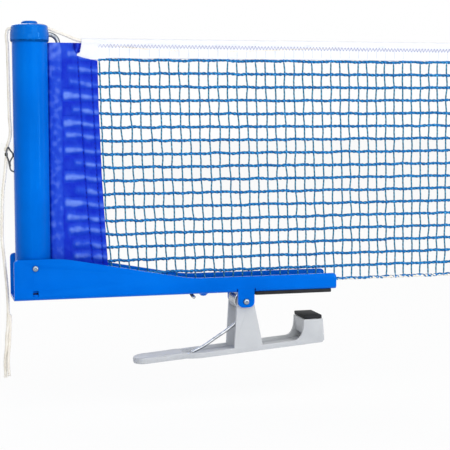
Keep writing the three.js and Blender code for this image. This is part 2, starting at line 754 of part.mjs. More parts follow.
function topTape() {
  const hood = headlineRadius + gap + tapeHood;
  const half = tapeThickness / 2;
  const shape = new THREE.Shape();
  shape.moveTo(-half, tapeBottom);
  shape.lineTo(half, tapeBottom);
  shape.lineTo(half, headlineInTape - hood - 1);
  shape.lineTo(hood, headlineInTape);
  shape.absarc(0, headlineInTape, hood, 0, Math.PI);
  shape.lineTo(-half, headlineInTape - hood - 1);
  const from = postX + sleeveNotch;
  let body = solid(alongX(shape, from, netEndX, 8));
  body = body.subtract(solid(rod(headlineRadius + gap, from - 1, netEndX + 1, 10, 'x').translate(0, 0, headlineInTape)));
  // the left end is cut on the slant and its point tucks into the sleeve's notch
  const cut = new THREE.Shape();
  cut.moveTo(from - 1, tapeBottom - 1);
  cut.lineTo(from + 1.2, tapeBottom - 1);
  cut.lineTo(from + 0.6, tapeBottom + 2.6);
  cut.lineTo(from + 4.0, netHeight + 1);
  cut.lineTo(from - 1, netHeight + 1);
  return body.subtract(solid(alongY(cut, -5, 5)));
}

// ---------------------------------------------------------------- cords and hook

const cordSideX = postX - postRadius - headlineStandOff;
const knotZ = hookHeight + knotAboveHook;
const crimpTop = knotZ - knotHalf - gap;
const tailTop = crimpTop - crimpHeight - gap;
const tailEndTop = tailTop - tailLength + gap;

function headlineCord() {
  const cordFoot = knotZ + knotHalf + gap;
  const points = [
    at(cordSideX - 0.4, 0, cordFoot),
    at(cordSideX + 0.1, 0, 0.5 * (cordFoot + headlineHeight)),
    at(cordSideX + 0.6, 0, headlineHeight - 5 * headlineBend),
    ...arc(postX - capRadius - 0.1, headlineHeight - headlineBend, headlineBend, 178, 90, 5),
    at(postX, 0, headlineHeight),
    at(postX + capRadius + 0.6, 0, headlineHeight),
    at(postX + capRadius + 3.5, 0, headlineHeight - 0.9),
    at(postX + sleeveNotch + 1.5, 0, headlineInTape + 0.5),
    at(postX + sleeveNotch + 4.5, 0, headlineInTape),
    at(netEndX - 20, 0, headlineInTape),
    at(netEndX + 0.6, 0, headlineInTape),
  ];
  return wire(points, headlineRadius, 8);
}

function bottomCord() {
  const points = [];
  for (const x of [rodX + 2.4 + gap, rodX + 30, 0, netEndX - 20, netEndX + 0.6]) points.push(at(x, 0, bottomCordHeight));
  return wire(points, bottomCordRadius, 8);
}

function knot(x, z, wide, high) {
  return new THREE.SphereGeometry(1, 10, 8).rotateX(Math.PI / 2).scale(wide, wide, high).translate(x, 0, z);
}

const eyeX = cordSideX - 0.4;
const eyeRadius = headlineRadius + gap + hookRadius;

function tensionHook() {
  const eyeZ = knotZ + knotHalf + gap + hookRadius;
  const points = [];
  for (let i = 0; i <= 7; i += 1) {
    const angle = THREE.MathUtils.degToRad(80 + 40 * i);
    points.push(at(eyeX + eyeRadius * Math.cos(angle), eyeRadius * Math.sin(angle), eyeZ + 0.25 * i));
  }
  const outside = postX - postRadius;
  points.push(
    at(outside - 1.1, -0.2, eyeZ + 0.3),
    at(outside - 0.9, 0, hookHeight + 10.4),
    at(outside - 1.5, 0, hookHeight + 7.0),
    at(outside - 2.4, 0, hookHeight + 4.6),
    at(outside - 2.3, 0, hookHeight + 2.2),
    at(outside - 1.2, 0, hookHeight + 0.4),
    at(outside + 0.4, 0, hookHeight),
    at(outside + 2.0, 0, hookHeight + 0.2),
    at(outside + 2.5, 0, hookHeight + 1.6),
  );
  return wire(points, hookRadius, 6);
}

// The tail's sway away from the post at equal steps down its length.
const tailSway = [0.8, 1.0, 1.7, 2.7, 3.2, 3.2, 2.8, 2.2, 1.6, 1.3, 1.6];
const tailRoute = tailSway.map((sway, i) => {
  const z = tailTop - (tailTop - tailEndTop - gap) * i / (tailSway.length - 1);
  return at(cordSideX - sway, 0, z);
});

function cordTail() {
  const section = new THREE.Shape();
  section.absarc(0, 0, tailRadius, 0, 2 * Math.PI);
  const path = new THREE.CatmullRomCurve3(tailRoute);
  const geometry = new THREE.ExtrudeGeometry(section, { steps: 24, bevelEnabled: false, extrudePath: path, curveSegments: 4 });
  return facingOut(geometry);
}

// The tail's doubled, frayed end.
function tailEnd() {
  const rings = [];
  const rows = [[0.5, 0], [1.5, 0.07], [1.7, 0.4], [1.5, 0.65], [1.7, 0.87], [1.2, 1]];
  for (const [half, share] of rows) {
    const x = cordSideX - 1.6 - 2 * share;
    const ring = [];
    for (let k = 0; k < 8; k += 1) {
      const angle = 2 * Math.PI * k / 8;
      ring.push(at(x + half * Math.cos(angle), 0.6 * half * Math.sin(angle), tailEndTop - share * tailEndLength));
    }
    rings.push(ring);
  }
  return skin(rings);
}

// ---------------------------------------------------------------- assembly

add('channel_bracket', surface(channelBracket()), blueSteel);
add('table_pad', tablePad(), blackRubber);
add('post_tube', surface(postTube()), blueSteel);
add('post_insert', surface(postInsert()), bluePlastic);
add('post_rivet', rivet(rivetRadius, rivetHeadRadius, rivetHeadHeight, outerHalf, 16).translate(postX, 0, rivetHeight),
  brightSteel);
add('post_cap', surface(postCap()), bluePlastic);
add('net_rod', netRod(), brightSteel);
add('rod_foot', surface(rodFoot()), bluePlastic);

add('pivot_pin', rivet(pinRadius, pinRadius + 0.5, pinHeadHeight, outerHalf, 20).translate(pivotX, 0, pivotZ), brightSteel);
add('spring_spool', spool(), greyPlastic);
const springRoute = springPoints();
console.log('least gap of the spring to itself, mm:', leastWireGap(springRoute).toFixed(2));
add('torsion_spring', wire(springRoute, wireRadius, 5), brightSteel);

const lever = new THREE.Group();
lever.position.set(pivotX, 0, pivotZ);
lever.rotation.y = -tilt;
group.add(lever);
add('clamp_lever', surface(clampLever()), greyPlastic, lever);
add('jaw_pad', jawPad(), blackRubber, lever);

add('net_sleeve', surface(netSleeve()), sleeveNylon);
add('net_mesh', surface(netMesh()), netNylon);
add('top_tape', surface(topTape()), whiteTape);
add('headline_cord', headlineCord(), creamCord);
add('bottom_cord', bottomCord(), creamCord);
add('headline_end_knot', knot(netEndX + 2.6, headlineInTape, 1.7, 1.7), creamCord);
add('bottom_end_knot', knot(netEndX + 2.4, bottomCordHeight, 1.5, 1.5), creamCord);

add('tension_hook', tensionHook(), brightSteel);
add('cord_knot', knot(cordSideX - 0.6, knotZ, 1.4, knotHalf), creamCord);
add('cord_crimp', rod(0.95, crimpTop - crimpHeight, crimpTop, 12).translate(cordSideX - 0.8, 0, 0), darkMetal);
add('cord_tail', cordTail(), creamCord);
add('tail_end', tailEnd(), creamCord);

export default group;
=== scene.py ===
"""Table tennis net clamp: a sprung clamp for the table's edge, its post, and the net's end on it.

Lengths are millimetres, which MM turns into metres, and most are measured from the table's edge.
"""

import math
import random

import bmesh
import bpy
from mathutils import Matrix, Vector, noise


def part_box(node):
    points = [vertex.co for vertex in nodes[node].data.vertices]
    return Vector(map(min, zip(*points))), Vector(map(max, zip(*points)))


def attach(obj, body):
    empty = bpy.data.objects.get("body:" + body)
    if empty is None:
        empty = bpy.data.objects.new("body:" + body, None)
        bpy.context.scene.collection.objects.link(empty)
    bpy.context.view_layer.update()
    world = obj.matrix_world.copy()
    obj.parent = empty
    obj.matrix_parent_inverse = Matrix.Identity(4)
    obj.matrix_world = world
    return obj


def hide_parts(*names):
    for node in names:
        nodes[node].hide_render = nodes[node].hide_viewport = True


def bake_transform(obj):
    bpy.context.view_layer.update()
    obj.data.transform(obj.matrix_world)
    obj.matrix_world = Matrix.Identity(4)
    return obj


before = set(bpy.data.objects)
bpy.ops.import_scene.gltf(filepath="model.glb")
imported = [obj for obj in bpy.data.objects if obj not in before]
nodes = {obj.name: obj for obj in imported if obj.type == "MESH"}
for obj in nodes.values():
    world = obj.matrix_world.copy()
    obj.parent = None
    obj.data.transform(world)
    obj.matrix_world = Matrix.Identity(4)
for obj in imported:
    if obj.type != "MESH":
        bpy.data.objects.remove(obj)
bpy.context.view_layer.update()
scene = bpy.context.scene
MM = 0.001
WELD = 0.002 * MM  # corners closer than this are one
WAVE_BAND = 0.32  # about how far apart a wave texture's bands lie at scale 1
POST_RADIUS = 10.2


def middle(node):
    """The middle of a solid, in millimetres."""
    low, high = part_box(node)
    return (Vector(low) + Vector(high)) / 2 / MM


def corner(node, which):
    """A solid's lowest (0) or highest (1) corner, in millimetres."""
    return Vector(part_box(node)[which]) / MM


post_x = middle("post_tube").x
pivot = middle("pivot_pin")
edge_x = corner("table_pad", 0).x
net_top = corner("top_tape", 1).z
tape_low = corner("top_tape", 0).z
net_end = corner("net_mesh", 1).x
headline_z = net_top - 1.9  # the headline's axis, inside the tape's hood
bottom_cord_z = middle("bottom_cord").z
knot_place = middle("cord_knot")
crimp_place = middle("cord_crimp")
tail_tip_z = corner("tail_end", 0).z
rod_x = edge_x - 115.3  # the rod's upright part
first_column_x = edge_x - 91.7


# ---------------- camera

def set_camera():
    """Eye level a little under the net's top edge, turned slightly towards the table's middle."""
    data = bpy.data.cameras.new("camera")
    camera = bpy.data.objects.new("camera", data)
    scene.collection.objects.link(camera)
    data.lens = 99.49
    data.sensor_width = 36
    data.clip_end = 20
    yaw, pitch, roll = math.radians(15.04), math.radians(5.32), math.radians(-0.10)
    forward = Vector((math.sin(yaw) * math.cos(pitch), math.cos(yaw) * math.cos(pitch), -math.sin(pitch)))
    level = Vector((math.cos(yaw), -math.sin(yaw), 0))
    upright = level.cross(forward)
    right = level * math.cos(roll) + upright * math.sin(roll)
    up = upright * math.cos(roll) - level * math.sin(roll)
    turn = Matrix((right, up, -forward)).transposed().to_4x4()
    place = Vector((edge_x - 210.13, -722.66, 111.38)) * MM
    camera.matrix_world = Matrix.Translation(place) @ turn
    scene.camera = camera


set_camera()


# ---------------- materials

def colour(hex_code):
    """An sRGB hex value as the linear colour a shader takes."""
    parts = [int(hex_code[i:i + 2], 16) / 255 for i in (1, 3, 5)]
    linear = [c / 12.92 if c <= 0.04045 else ((c + 0.055) / 1.055) ** 2.4 for c in parts]
    return (*linear, 1.0)


def add_node(material, kind, links=None, sockets=None, into=None, stops=(), **settings):
    """Adds a node with its settings, socket values, colour stops, what feeds it and what it feeds."""
    node = material.node_tree.nodes.new("ShaderNode" + kind)
    for name, value in settings.items():
        setattr(node, name, value)
    for i, (place, hex_code) in enumerate(stops):
        elements = node.color_ramp.elements
        stop = elements[i] if i < 2 else elements.new(place)
        stop.position, stop.color = place, colour(hex_code)
    for name, value in (sockets or {}).items():
        node.inputs[name].default_value = value
    for name, output in (links or {}).items():
        material.node_tree.links.new(output, node.inputs[name])
    if into:
        material.node_tree.links.new(node.outputs[0], into)
    return node


def start_material(name, hex_code, roughness, **more):
    """A surface of one colour and roughness, with what else its shader takes."""
    material = bpy.data.materials.new(name)
    material.use_nodes = True
    shader = material.node_tree.nodes["Principled BSDF"]
    shader.inputs["Base Color"].default_value = colour(hex_code)
    shader.inputs["Roughness"].default_value = roughness
    for key, value in more.items():
        shader.inputs[key.replace("_", " ")].default_value = value
    return material, shader


def start_textured(name, hex_code, roughness, **more):
    """The same, and the place on the piece that its textures go by."""
    material, shader = start_material(name, hex_code, roughness, **more)
    return material, shader, add_node(material, "TexCoord").outputs["Object"]


def finish_textured(material, shader, tint, stops, relief, strength, depth_mm):
    """Colours a surface by one texture and raises it by another."""
    add_node(material, "ValToRGB", {"Fac": tint}, into=shader.inputs["Base Color"], stops=stops)
    add_node(material, "Bump", {"Height": relief}, {"Strength": strength, "Distance": depth_mm * MM},
             into=shader.inputs["Normal"])
    return material


def stoved_enamel(name, main, shade, light):
    """Stoved enamel on steel: even saturated colour, a soft gloss and a faint orange peel."""
    material, shader, place = start_textured(name, main, 0.17, Specular_IOR_Level=0.15,
                                             Specular_Tint=colour("#38C0FF"))
    drift = add_node(material, "TexNoise", {"Vector": place}, {"Scale": 28.0, "Detail": 3.0})
    peel = add_node(material, "TexNoise", {"Vector": place}, {"Scale": 900.0, "Detail": 2.0})
    stops = [(0.3, shade), (0.52, main), (0.75, light)]
    return finish_textured(material, shader, drift.outputs["Fac"], stops, peel.outputs["Fac"], 0.35, 0.05)


def moulded_plastic(name, main, shade, roughness, grain_mm, depth=0.03, glint="#FFFFFF"):
    """Injection-moulded plastic: slightly cloudy colour and its mould's fine spark-eroded grain."""
    material, shader, place = start_textured(name, main, roughness, Specular_IOR_Level=0.3,
                                             Specular_Tint=colour(glint))
    cloud = add_node(material, "TexNoise", {"Vector": place}, {"Scale": 45.0, "Detail": 4.0})
    grain = add_node(material, "TexNoise", {"Vector": place}, {"Scale": 1 / (grain_mm * MM), "Detail": 2.0})
    stops = [(0.32, shade), (0.6, main)]
    return finish_textured(material, shader, cloud.outputs["Fac"], stops, grain.outputs["Fac"], 0.5, depth)


def drawn_steel(name, main, shade, roughness, streak_mm, along, rim="#5A5F68"):
    """Drawn bright wire: mirror-like, with the die's faint lines along it, and a painted dark reflection at
    its outline from the rim colour.
    """
    material, shader, place = start_textured(name, main, roughness, Metallic=1.0, Specular_Tint=colour(rim))
    stretch = [1 / (streak_mm * MM)] * 3
    stretch[along] *= 0.04
    fitted = add_node(material, "Mapping", {"Vector": place}, {"Scale": stretch})
    lines = add_node(material, "TexNoise", {"Vector": fitted.outputs["Vector"]},
                     {"Scale": 1.0, "Detail": 3.0}).outputs["Fac"]
    add_node(material, "MapRange", {"Value": lines}, {"To Min": roughness * 0.7, "To Max": roughness * 1.5},
             into=shader.inputs["Roughness"])
    return finish_textured(material, shader, lines, [(0.35, shade), (0.6, main)], lines, 0.3, 0.02)


def black_rubber(name):
    """Pressed rubber sheet: near black, dull, with a dusty bloom in patches."""
    material, shader, place = start_textured(name, "#1A1B1E", 0.82, Specular_IOR_Level=0.35)
    bloom = add_node(material, "TexNoise", {"Vector": place}, {"Scale": 120.0, "Detail": 5.0})
    pores = add_node(material, "TexVoronoi", {"Vector": place}, {"Scale": 1400.0}).outputs["Distance"]
    stops = [(0.35, "#141518"), (0.7, "#2A2B2F")]
    return finish_textured(material, shader, bloom.outputs["Fac"], stops, pores, 0.5, 0.08)


def taffeta_nylon(name, dark, main, light):
    """Woven nylon taffeta: a silky violet blue with random blotches, painted sheen where the cloth is raised
    into a pucker and painted shade between.
    """
    material, shader, place = start_textured(name, main, 0.42, Specular_IOR_Level=0.1)
    # the lift attribute carries painted sheen and shade, with random tone
    painted_sheen = add_node(material, "Attribute", attribute_name="lift").outputs["Fac"]
    blotch = add_node(material, "TexNoise", {"Vector": place}, {"Scale": 260.0, "Detail": 4.0})
    spread = add_node(material, "MapRange", {"Value": blotch.outputs["Fac"]},
                      {"To Min": -0.2, "To Max": 0.2})
    total = add_node(material, "Math", {0: painted_sheen, 1: spread.outputs["Result"]}, operation="ADD")
    # threads 0.7 mm apart: coarser than the real cloth, so that they show at all
    warp, weft = [add_node(material, "TexWave", {"Vector": place},
                           {"Scale": 450.0, "Distortion": 1.5, "Detail": 1.0},
                           bands_direction=direction) for direction in "XZ"]
    weave = add_node(material, "Math", {0: warp.outputs["Fac"], 1: weft.outputs["Fac"]},
                     operation="MULTIPLY")
    stops = [(0.0, dark), (0.5, main), (1.0, light)]
    return finish_textured(material, shader, total.outputs["Value"], stops, weave.outputs["Value"], 0.4, 0.12)


def twisted_nylon(name, dark, main, light):
    """Twisted nylon twine: dull strands whose colour follows the turns and random patches, with painted shade
    in the turns and painted highlights between them.
    """
    material, shader, place = start_textured(name, main, 0.6, Specular_IOR_Level=0.2)
    turns = add_node(material, "TexWave", {"Vector": place},
                     {"Scale": 260.0, "Distortion": 3.0, "Detail": 2.0}, bands_direction="DIAGONAL")
    patches = add_node(material, "TexNoise", {"Vector": place}, {"Scale": 210.0, "Detail": 3.0})
    blend = add_node(material, "Math", {0: turns.outputs["Fac"], 1: patches.outputs["Fac"]},
                     operation="MULTIPLY")
    stops = [(0.05, dark), (0.25, main), (0.62, light)]
    return finish_textured(material, shader, blend.outputs["Value"], stops, turns.outputs["Fac"], 0.8, 0.2)


def cotton(name, main, shade, thread_mm, depth):
    """Cotton yarn and tape: off-white, matt and slightly hairy."""
    material, shader, place = start_textured(name, main, 0.85, Sheen_Weight=0.3, Sheen_Roughness=0.6)
    soil = add_node(material, "TexNoise", {"Vector": place}, {"Scale": 150.0, "Detail": 5.0})
    across = add_node(material, "TexWave", {"Vector": place},
                      {"Scale": WAVE_BAND / (thread_mm * MM), "Distortion": 2.0},
                      bands_direction="DIAGONAL")
    stops = [(0.3, shade), (0.58, main)]
    return finish_textured(material, shader, soil.outputs["Fac"], stops, across.outputs["Fac"], 0.6, depth)


bracket_enamel = stoved_enamel("blue_enamel", "#0067D8", "#0061CE", "#006DDF")
post_enamel = stoved_enamel("blue_tube_enamel", "#006AD8", "#0064CE", "#0071DF")
cap_plastic = moulded_plastic("blue_moulded_polyamide", "#0068D0", "#0060C4", 0.12, 0.5, glint="#60D0FF")
navy_plastic = moulded_plastic("navy_moulded_polyamide", "#1B2C55", "#15213F", 0.5, 0.5)
lever_plastic = moulded_plastic("light_grey_moulded_abs", "#C6C9CC", "#BEC1C5", 0.42, 0.6, 0.02)
spool_plastic = moulded_plastic("grey_moulded_acetal", "#A9ABAE", "#9C9EA2", 0.4, 0.5)
# the dark rim colours are painted dark reflections at the wires' outlines
spring_steel = drawn_steel("bright_spring_wire", "#C9CDD2", "#A4A9B0", 0.16, 0.8, 0, rim="#20242C")
rod_steel = drawn_steel("chromed_rod", "#8E939B", "#70757E", 0.16, 0.8, 2, rim="#20242C")
pin_steel = drawn_steel("zinc_plated_rivet", "#A4B2C2", "#7E8B9A", 0.3, 0.3, 1, rim="#30343C")
hook_steel = drawn_steel("thin_steel_wire", "#6E7074", "#46484C", 0.3, 0.3, 2)
crimp_metal = drawn_steel("dull_crimped_bead", "#5B5A4A", "#3B3B30", 0.45, 0.5, 2)
rubber = black_rubber("black_pressed_rubber")
# its light stop is the colour of the painted sheen on the puckers
sleeve_nylon = taffeta_nylon("violet_nylon_taffeta", "#0028C2", "#1E4AD2", "#6688EA")
# a darker copy of the sleeve's taffeta: painted shade on the folded corner
shaded_fold_nylon = taffeta_nylon("shaded_folded_nylon_taffeta", "#001292", "#0C2CBE", "#3A5EE0")
row_nylon = twisted_nylon("twisted_blue_nylon", "#055088", "#0870B4", "#2494D6")
column_nylon = twisted_nylon("thin_twisted_blue_nylon", "#256684", "#2C7C9E", "#5CA4C0")
# lighter than the rows' twine: painted highlights on the knots
highlit_knot_nylon = twisted_nylon("highlit_knotted_blue_nylon", "#0660AC", "#0874C8", "#4CACEA")
tape_cotton = cotton("white_woven_tape", "#F3F5FB", "#EBEEF6", 0.9, 0.06)
mark_cotton = cotton("shaded_woven_tape", "#DADFEC", "#CCD3E4", 0.9, 0.06)
stitch_cotton = cotton("blue_grey_sewing_thread", "#8C93C4", "#7A82B8", 0.5, 0.03)
seam_thread = twisted_nylon("navy_sewing_thread", "#020E74", "#031694", "#0A2AC0")
cord_cotton = cotton("cream_cotton_cord", "#F8F3E8", "#EAE3D4", 0.7, 0.1)


# ---------------- ways of making pieces

def only(piece):
    """Leaves one piece selected and active."""
    bpy.ops.object.select_all(action="DESELECT")
    piece.select_set(True)
    bpy.context.view_layer.objects.active = piece


def fit(piece, material, slot, *stands_for, body="bracket"):
    """Finishes a piece: its material, the solids it stands for and the body it rides on."""
    piece.data.materials.clear()
    piece.data.materials.append(material)
    if stands_for:
        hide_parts(*stands_for)
    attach(piece, body)


def apply_modifiers(piece):
    """Turns a piece's modifiers into its mesh."""
    only(piece)
    for modifier in list(piece.modifiers):
        bpy.ops.object.modifier_apply(modifier=modifier.name)


def rounded_copy(name, node, edge_mm, segments, shape=None):
    """A solid's copy: its triangles merged, its sharp edges rounded and its curved faces smooth."""
    sharp = 30
    piece = bpy.data.objects.new(name, nodes[node].data.copy())
    scene.collection.objects.link(piece)
    only(piece)
    bpy.ops.object.mode_set(mode="EDIT")
    bpy.ops.mesh.select_all(action="SELECT")
    bpy.ops.mesh.remove_doubles(threshold=WELD)
    bpy.ops.mesh.dissolve_limited(angle_limit=math.radians(0.6))
    if shape:
        shape(bmesh.from_edit_mesh(piece.data))
        bmesh.update_edit_mesh(piece.data)
    bpy.ops.object.mode_set(mode="OBJECT")
    if edge_mm:
        bevel = piece.modifiers.new("edges", "BEVEL")
        bevel.width = edge_mm * MM
        bevel.segments = segments
        bevel.limit_method = "ANGLE"
        bevel.angle_limit = math.radians(sharp)
        apply_modifiers(piece)
    only(piece)
    bpy.ops.object.shade_smooth_by_angle(angle=math.radians(sharp + 6))
    return piece


def line_at(table, place):
    """Reads a line of (place, value) pairs at a place on it or beyond its ends."""
    for (near, low), (far, high) in zip(table, table[1:]):
        if place <= far:
            break
    return low + (high - low) * (place - near) / (far - near)


def barrel_cap(shape):
    """The cap's side swells a little in its lower half and turns in at its rim."""
    cap_height = 12.0
    low = corner("post_cap", 1).z - cap_height
    # height up its side, and radius there
    swell = [(0.0, 10.45), (0.4, 10.85), (1.2, 11.1), (4.6, 11.1), (5.8, 10.95), (6.9, 10.6),
             (8.6, 10.55), (9.6, 10.2)]
    for rise, _ in swell[1:-1]:
        whole = shape.verts[:] + shape.edges[:] + shape.faces[:]
        bmesh.ops.bisect_plane(shape, geom=whole, plane_co=(0, 0, (low + rise) * MM), plane_no=(0, 0, 1))
    for vertex in shape.verts:
        out = Vector((vertex.co.x - post_x * MM, vertex.co.y, 0)) / MM
        rise = vertex.co.z / MM - low
        if out.length > POST_RADIUS and rise > -0.1:
            width = line_at(swell, rise)
            vertex.co.x = (post_x + out.x * width / out.length) * MM
            vertex.co.y = out.y * width / out.length * MM


def faired_lever(shape):
    """Near the handle the trough's lower edges are chamfered and its walls rise to meet it."""
    tilt = math.radians(4.4)
    fairing_start, fairing_length, handle = -30.5, 11.5, -42.1
    floor, side, wall_low, wall_high = -31.0, 7.2, -28.0, -27.8
    for vertex in shape.verts:
        x, y, z = vertex.co.x / MM - pivot.x, vertex.co.y / MM, vertex.co.z / MM - pivot.z
        along = x * math.cos(tilt) + z * math.sin(tilt)
        up = z * math.cos(tilt) - x * math.sin(tilt)
        near = max(0.0, (fairing_start - along) / fairing_length)
        if near and along > handle and up < floor and abs(y) > side:
            y -= math.copysign(0.95 * near, y)
            up += 0.25 * near
        elif near and along > handle and wall_low < up < wall_high:
            up += 0.75 * near
        vertex.co.x = (pivot.x + along * math.cos(tilt) - up * math.sin(tilt)) * MM
        vertex.co.y = y * MM
        vertex.co.z = (pivot.z + along * math.sin(tilt) + up * math.cos(tilt)) * MM


def taller_back(shape):
    """The channel's far wall stands a little higher behind the post."""
    inside, wall_top, rise, slope = 10, 22.5, 1.7, 12
    end = corner("channel_bracket", 0).x + 30
    for vertex in shape.verts:
        x, y, z = [c / MM for c in vertex.co]
        if y > inside and z > wall_top and x < end:
            vertex.co.z += rise * MM * min(1.0, (end - x) / slope)


def mesh_piece(name, corners, faces):
    """A mesh from corners in millimetres; a closed one has its faces turned outwards."""
    mesh = bpy.data.meshes.new(name)
    mesh.from_pydata([Vector(c) * MM for c in corners], [], faces)
    shape = bmesh.new()
    shape.from_mesh(mesh)
    if not any(e.is_boundary for e in shape.edges):
        bmesh.ops.recalc_face_normals(shape, faces=shape.faces)
    shape.to_mesh(mesh)
    shape.free()
    mesh.shade_smooth()
    piece = bpy.data.objects.new(name, mesh)
    scene.collection.objects.link(piece)
    return piece


def strip_faces(rows, around):
    """The faces of an open strip of cloth, whose corners are stored row by row."""
    return [(a, a + 1, a + 1 + around, a + around)
            for j in range(rows) for a in range(j * around, (j + 1) * around - 1)]


def store_sheen_and_tone(piece, sheen_and_tone):
    """Keeps each corner's painted sheen and shade, with any random tone, which its cloth's colour follows."""
    attribute = piece.data.attributes.new("lift", "FLOAT", "POINT")
    attribute.data.foreach_set("value", sheen_and_tone)


def thicken(piece, thickness_mm):
    """Gives an open cloth its thickness, inwards from the face that shows."""
    cloth = piece.modifiers.new("cloth", "SOLIDIFY")
    cloth.thickness = thickness_mm * MM
    cloth.offset = -1
    apply_modifiers(piece)


def shifted(x, z, shifts):
    """The points that lie at these shifts from a place."""
    return [(x + right, y, z + up) for right, y, up in shifts]


def smooth_route(points, spacing):
    """A curve through the points that never overshoots, as points about `spacing` apart."""
    points = [Vector(p) for p in points]
    steps = [b - a for a, b in zip(points, points[1:])]
    headings = [steps[0].normalized()]
    for before, after in zip(steps, steps[1:]):
        mixed = before.normalized() * after.length + after.normalized() * before.length
        headings.append(mixed / (before.length + after.length))
    headings.append(steps[-1].normalized())
    route = []
    for a, b, out, into in zip(points, points[1:], headings, headings[1:]):
        reach = (b - a).length
        pieces = max(1, round(reach / spacing))
        for i in range(pieces):
            t = i / pieces
            route.append(a * (2 * t ** 3 - 3 * t * t + 1) + out * reach * (t ** 3 - 2 * t * t + t)
                         + b * (3 * t * t - 2 * t ** 3) + into * reach * (t ** 3 - t * t))
    route.append(points[-1])
    return route


def route_length(route):
    """How long a route is."""
    return sum((b - a).length for a, b in zip(route, route[1:]))


def sweep_mesh(route, ring, sides, corners, faces):
    """Adds a tube with rounded ends. ring is its radius, or gives it for a distance and angle."""
    total = route_length(route)
    tangents = []
    for i in range(len(route)):
        tangents.append((route[min(i + 1, len(route) - 1)] - route[max(i - 1, 0)]).normalized())
    normal = Vector((0, 1, 0)) if abs(tangents[0].y) < 0.9 else Vector((0, 0, 1))
    first = len(corners)
    run = 0.0
    for i, (point, tangent) in enumerate(zip(route, tangents)):
        if i:
            run += (point - route[i - 1]).length
        normal = (normal - tangent * normal.dot(tangent)).normalized()
        across = tangent.cross(normal)
        for k in range(sides):
            angle = 2 * math.pi * k / sides
            radius = ring(run, angle) if callable(ring) else ring
            near_end = min(run, total - run) / max(radius, 1e-6)
            if near_end < 1:
                radius *= 0.35 + 0.65 * math.sqrt(near_end * (2 - near_end))
            corners.append(point + (normal * math.cos(angle) + across * math.sin(angle)) * radius)
    for i in range(len(route) - 1):
        for k in range(sides):
            a = first + i * sides + k
            b = first + i * sides + (k + 1) % sides
            faces.append((a, b, b + sides, a + sides))
    last = first + (len(route) - 1) * sides
    faces.append(tuple(range(first, first + sides)))
    faces.append(tuple(range(last, last + sides)))


def tubes(name, routes, sides):
    """One mesh of separate tubes, each given by its route and its ring."""
    corners, faces = [], []
    for route, ring in routes:
        sweep_mesh(route, ring, sides, corners, faces)
    return mesh_piece(name, corners, faces)


def rope(name, route, radius, lay, sides=15):
    """A cord of three twisted strands: lay is the length of one turn."""
    def ring(run, angle):
        return radius * (0.9 + 0.1 * math.cos(3 * (angle - 2 * math.pi * run / lay)))
    return tubes(name, [(route, ring)], sides)


def overhand_knot(name, place, size, thickness):
    """A cord's end pulled into a small tight knot."""
    steps, sides = 49, 10
    route = []
    for i in range(steps):
        t = 2 * math.pi * i / steps
        wide = 2 + math.cos(3 * t)
        turn = Vector((wide * math.cos(2 * t), 1.28 * math.sin(3 * t), wide * math.sin(2 * t)))
        route.append(Vector(place) + turn * size / 3)
    corners, faces = [], []
    for i, point in enumerate(route):
        tangent = (route[(i + 1) % steps] - route[i - 1]).normalized()
        side = tangent.cross(Vector((0, 1, 0))).normalized()
        lift = side.cross(tangent)
        following = (i + 1) % steps
        for k in range(sides):
            angle = 2 * math.pi * k / sides
            corners.append(point + (side * math.cos(angle) + lift * math.sin(angle)) * thickness)
            beside = (k + 1) % sides
            faces.append((i * sides + k, i * sides + beside,
                          following * sides + beside, following * sides + k))
    return mesh_piece(name, corners, faces)


def set_rivet(name, node, head, dimple):
    """A rivet with a dished head at each end, where the setting tool leaves a small hollow."""
    low, high = corner(node, 0), corner(node, 1)
    centre = (low + high) / 2
    face, reach = high.y - 0.8, high.y - 0.05
    shank, start = 0.7 * head, face - 0.3
    bpy.ops.object.select_all(action="DESELECT")
    bpy.ops.mesh.primitive_cylinder_add(
        vertices=32, radius=shank * MM, depth=2 * start * MM, location=centre * MM,
        rotation=(math.radians(90), 0, 0))
    piece = bpy.context.object
    piece.name = name
    bpy.ops.object.transform_apply(location=True, rotation=True, scale=True)
    # radius and distance from the middle, from under the head out to its top and into the hollow
    rings = [(head, face - 0.05), (head, face + 0.15), (0.92 * head, reach - 0.3),
             (0.72 * head, reach - 0.06), (dimple, reach), (0.85 * dimple, reach - 0.12),
             (0.55 * dimple, reach - 0.4), (0.12 * dimple, reach - 0.42)]
    for side in (-1, 1):
        bpy.ops.object.mode_set(mode="EDIT")
        bpy.ops.mesh.select_all(action="DESELECT")
        bpy.ops.object.mode_set(mode="OBJECT")
        for flat in piece.data.polygons:
            flat.select = flat.normal.y * side > 0.9 and flat.center.y * side > 0
        bpy.ops.object.mode_set(mode="EDIT")
        bpy.ops.mesh.select_mode(type="FACE")
        radius, y = shank, start
        for wider, further in rings:
            bpy.ops.mesh.extrude_region_move(
                TRANSFORM_OT_translate={"value": (0, side * (further - y) * MM, 0)})
            bpy.ops.transform.resize(value=(wider / radius, 1, wider / radius),
                                     center_override=(centre.x * MM, side * further * MM, centre.z * MM))
            radius, y = wider, further
        bpy.ops.object.mode_set(mode="OBJECT")
    bpy.ops.object.shade_smooth_by_angle(angle=math.radians(40))
    return piece


# ---------------- cords

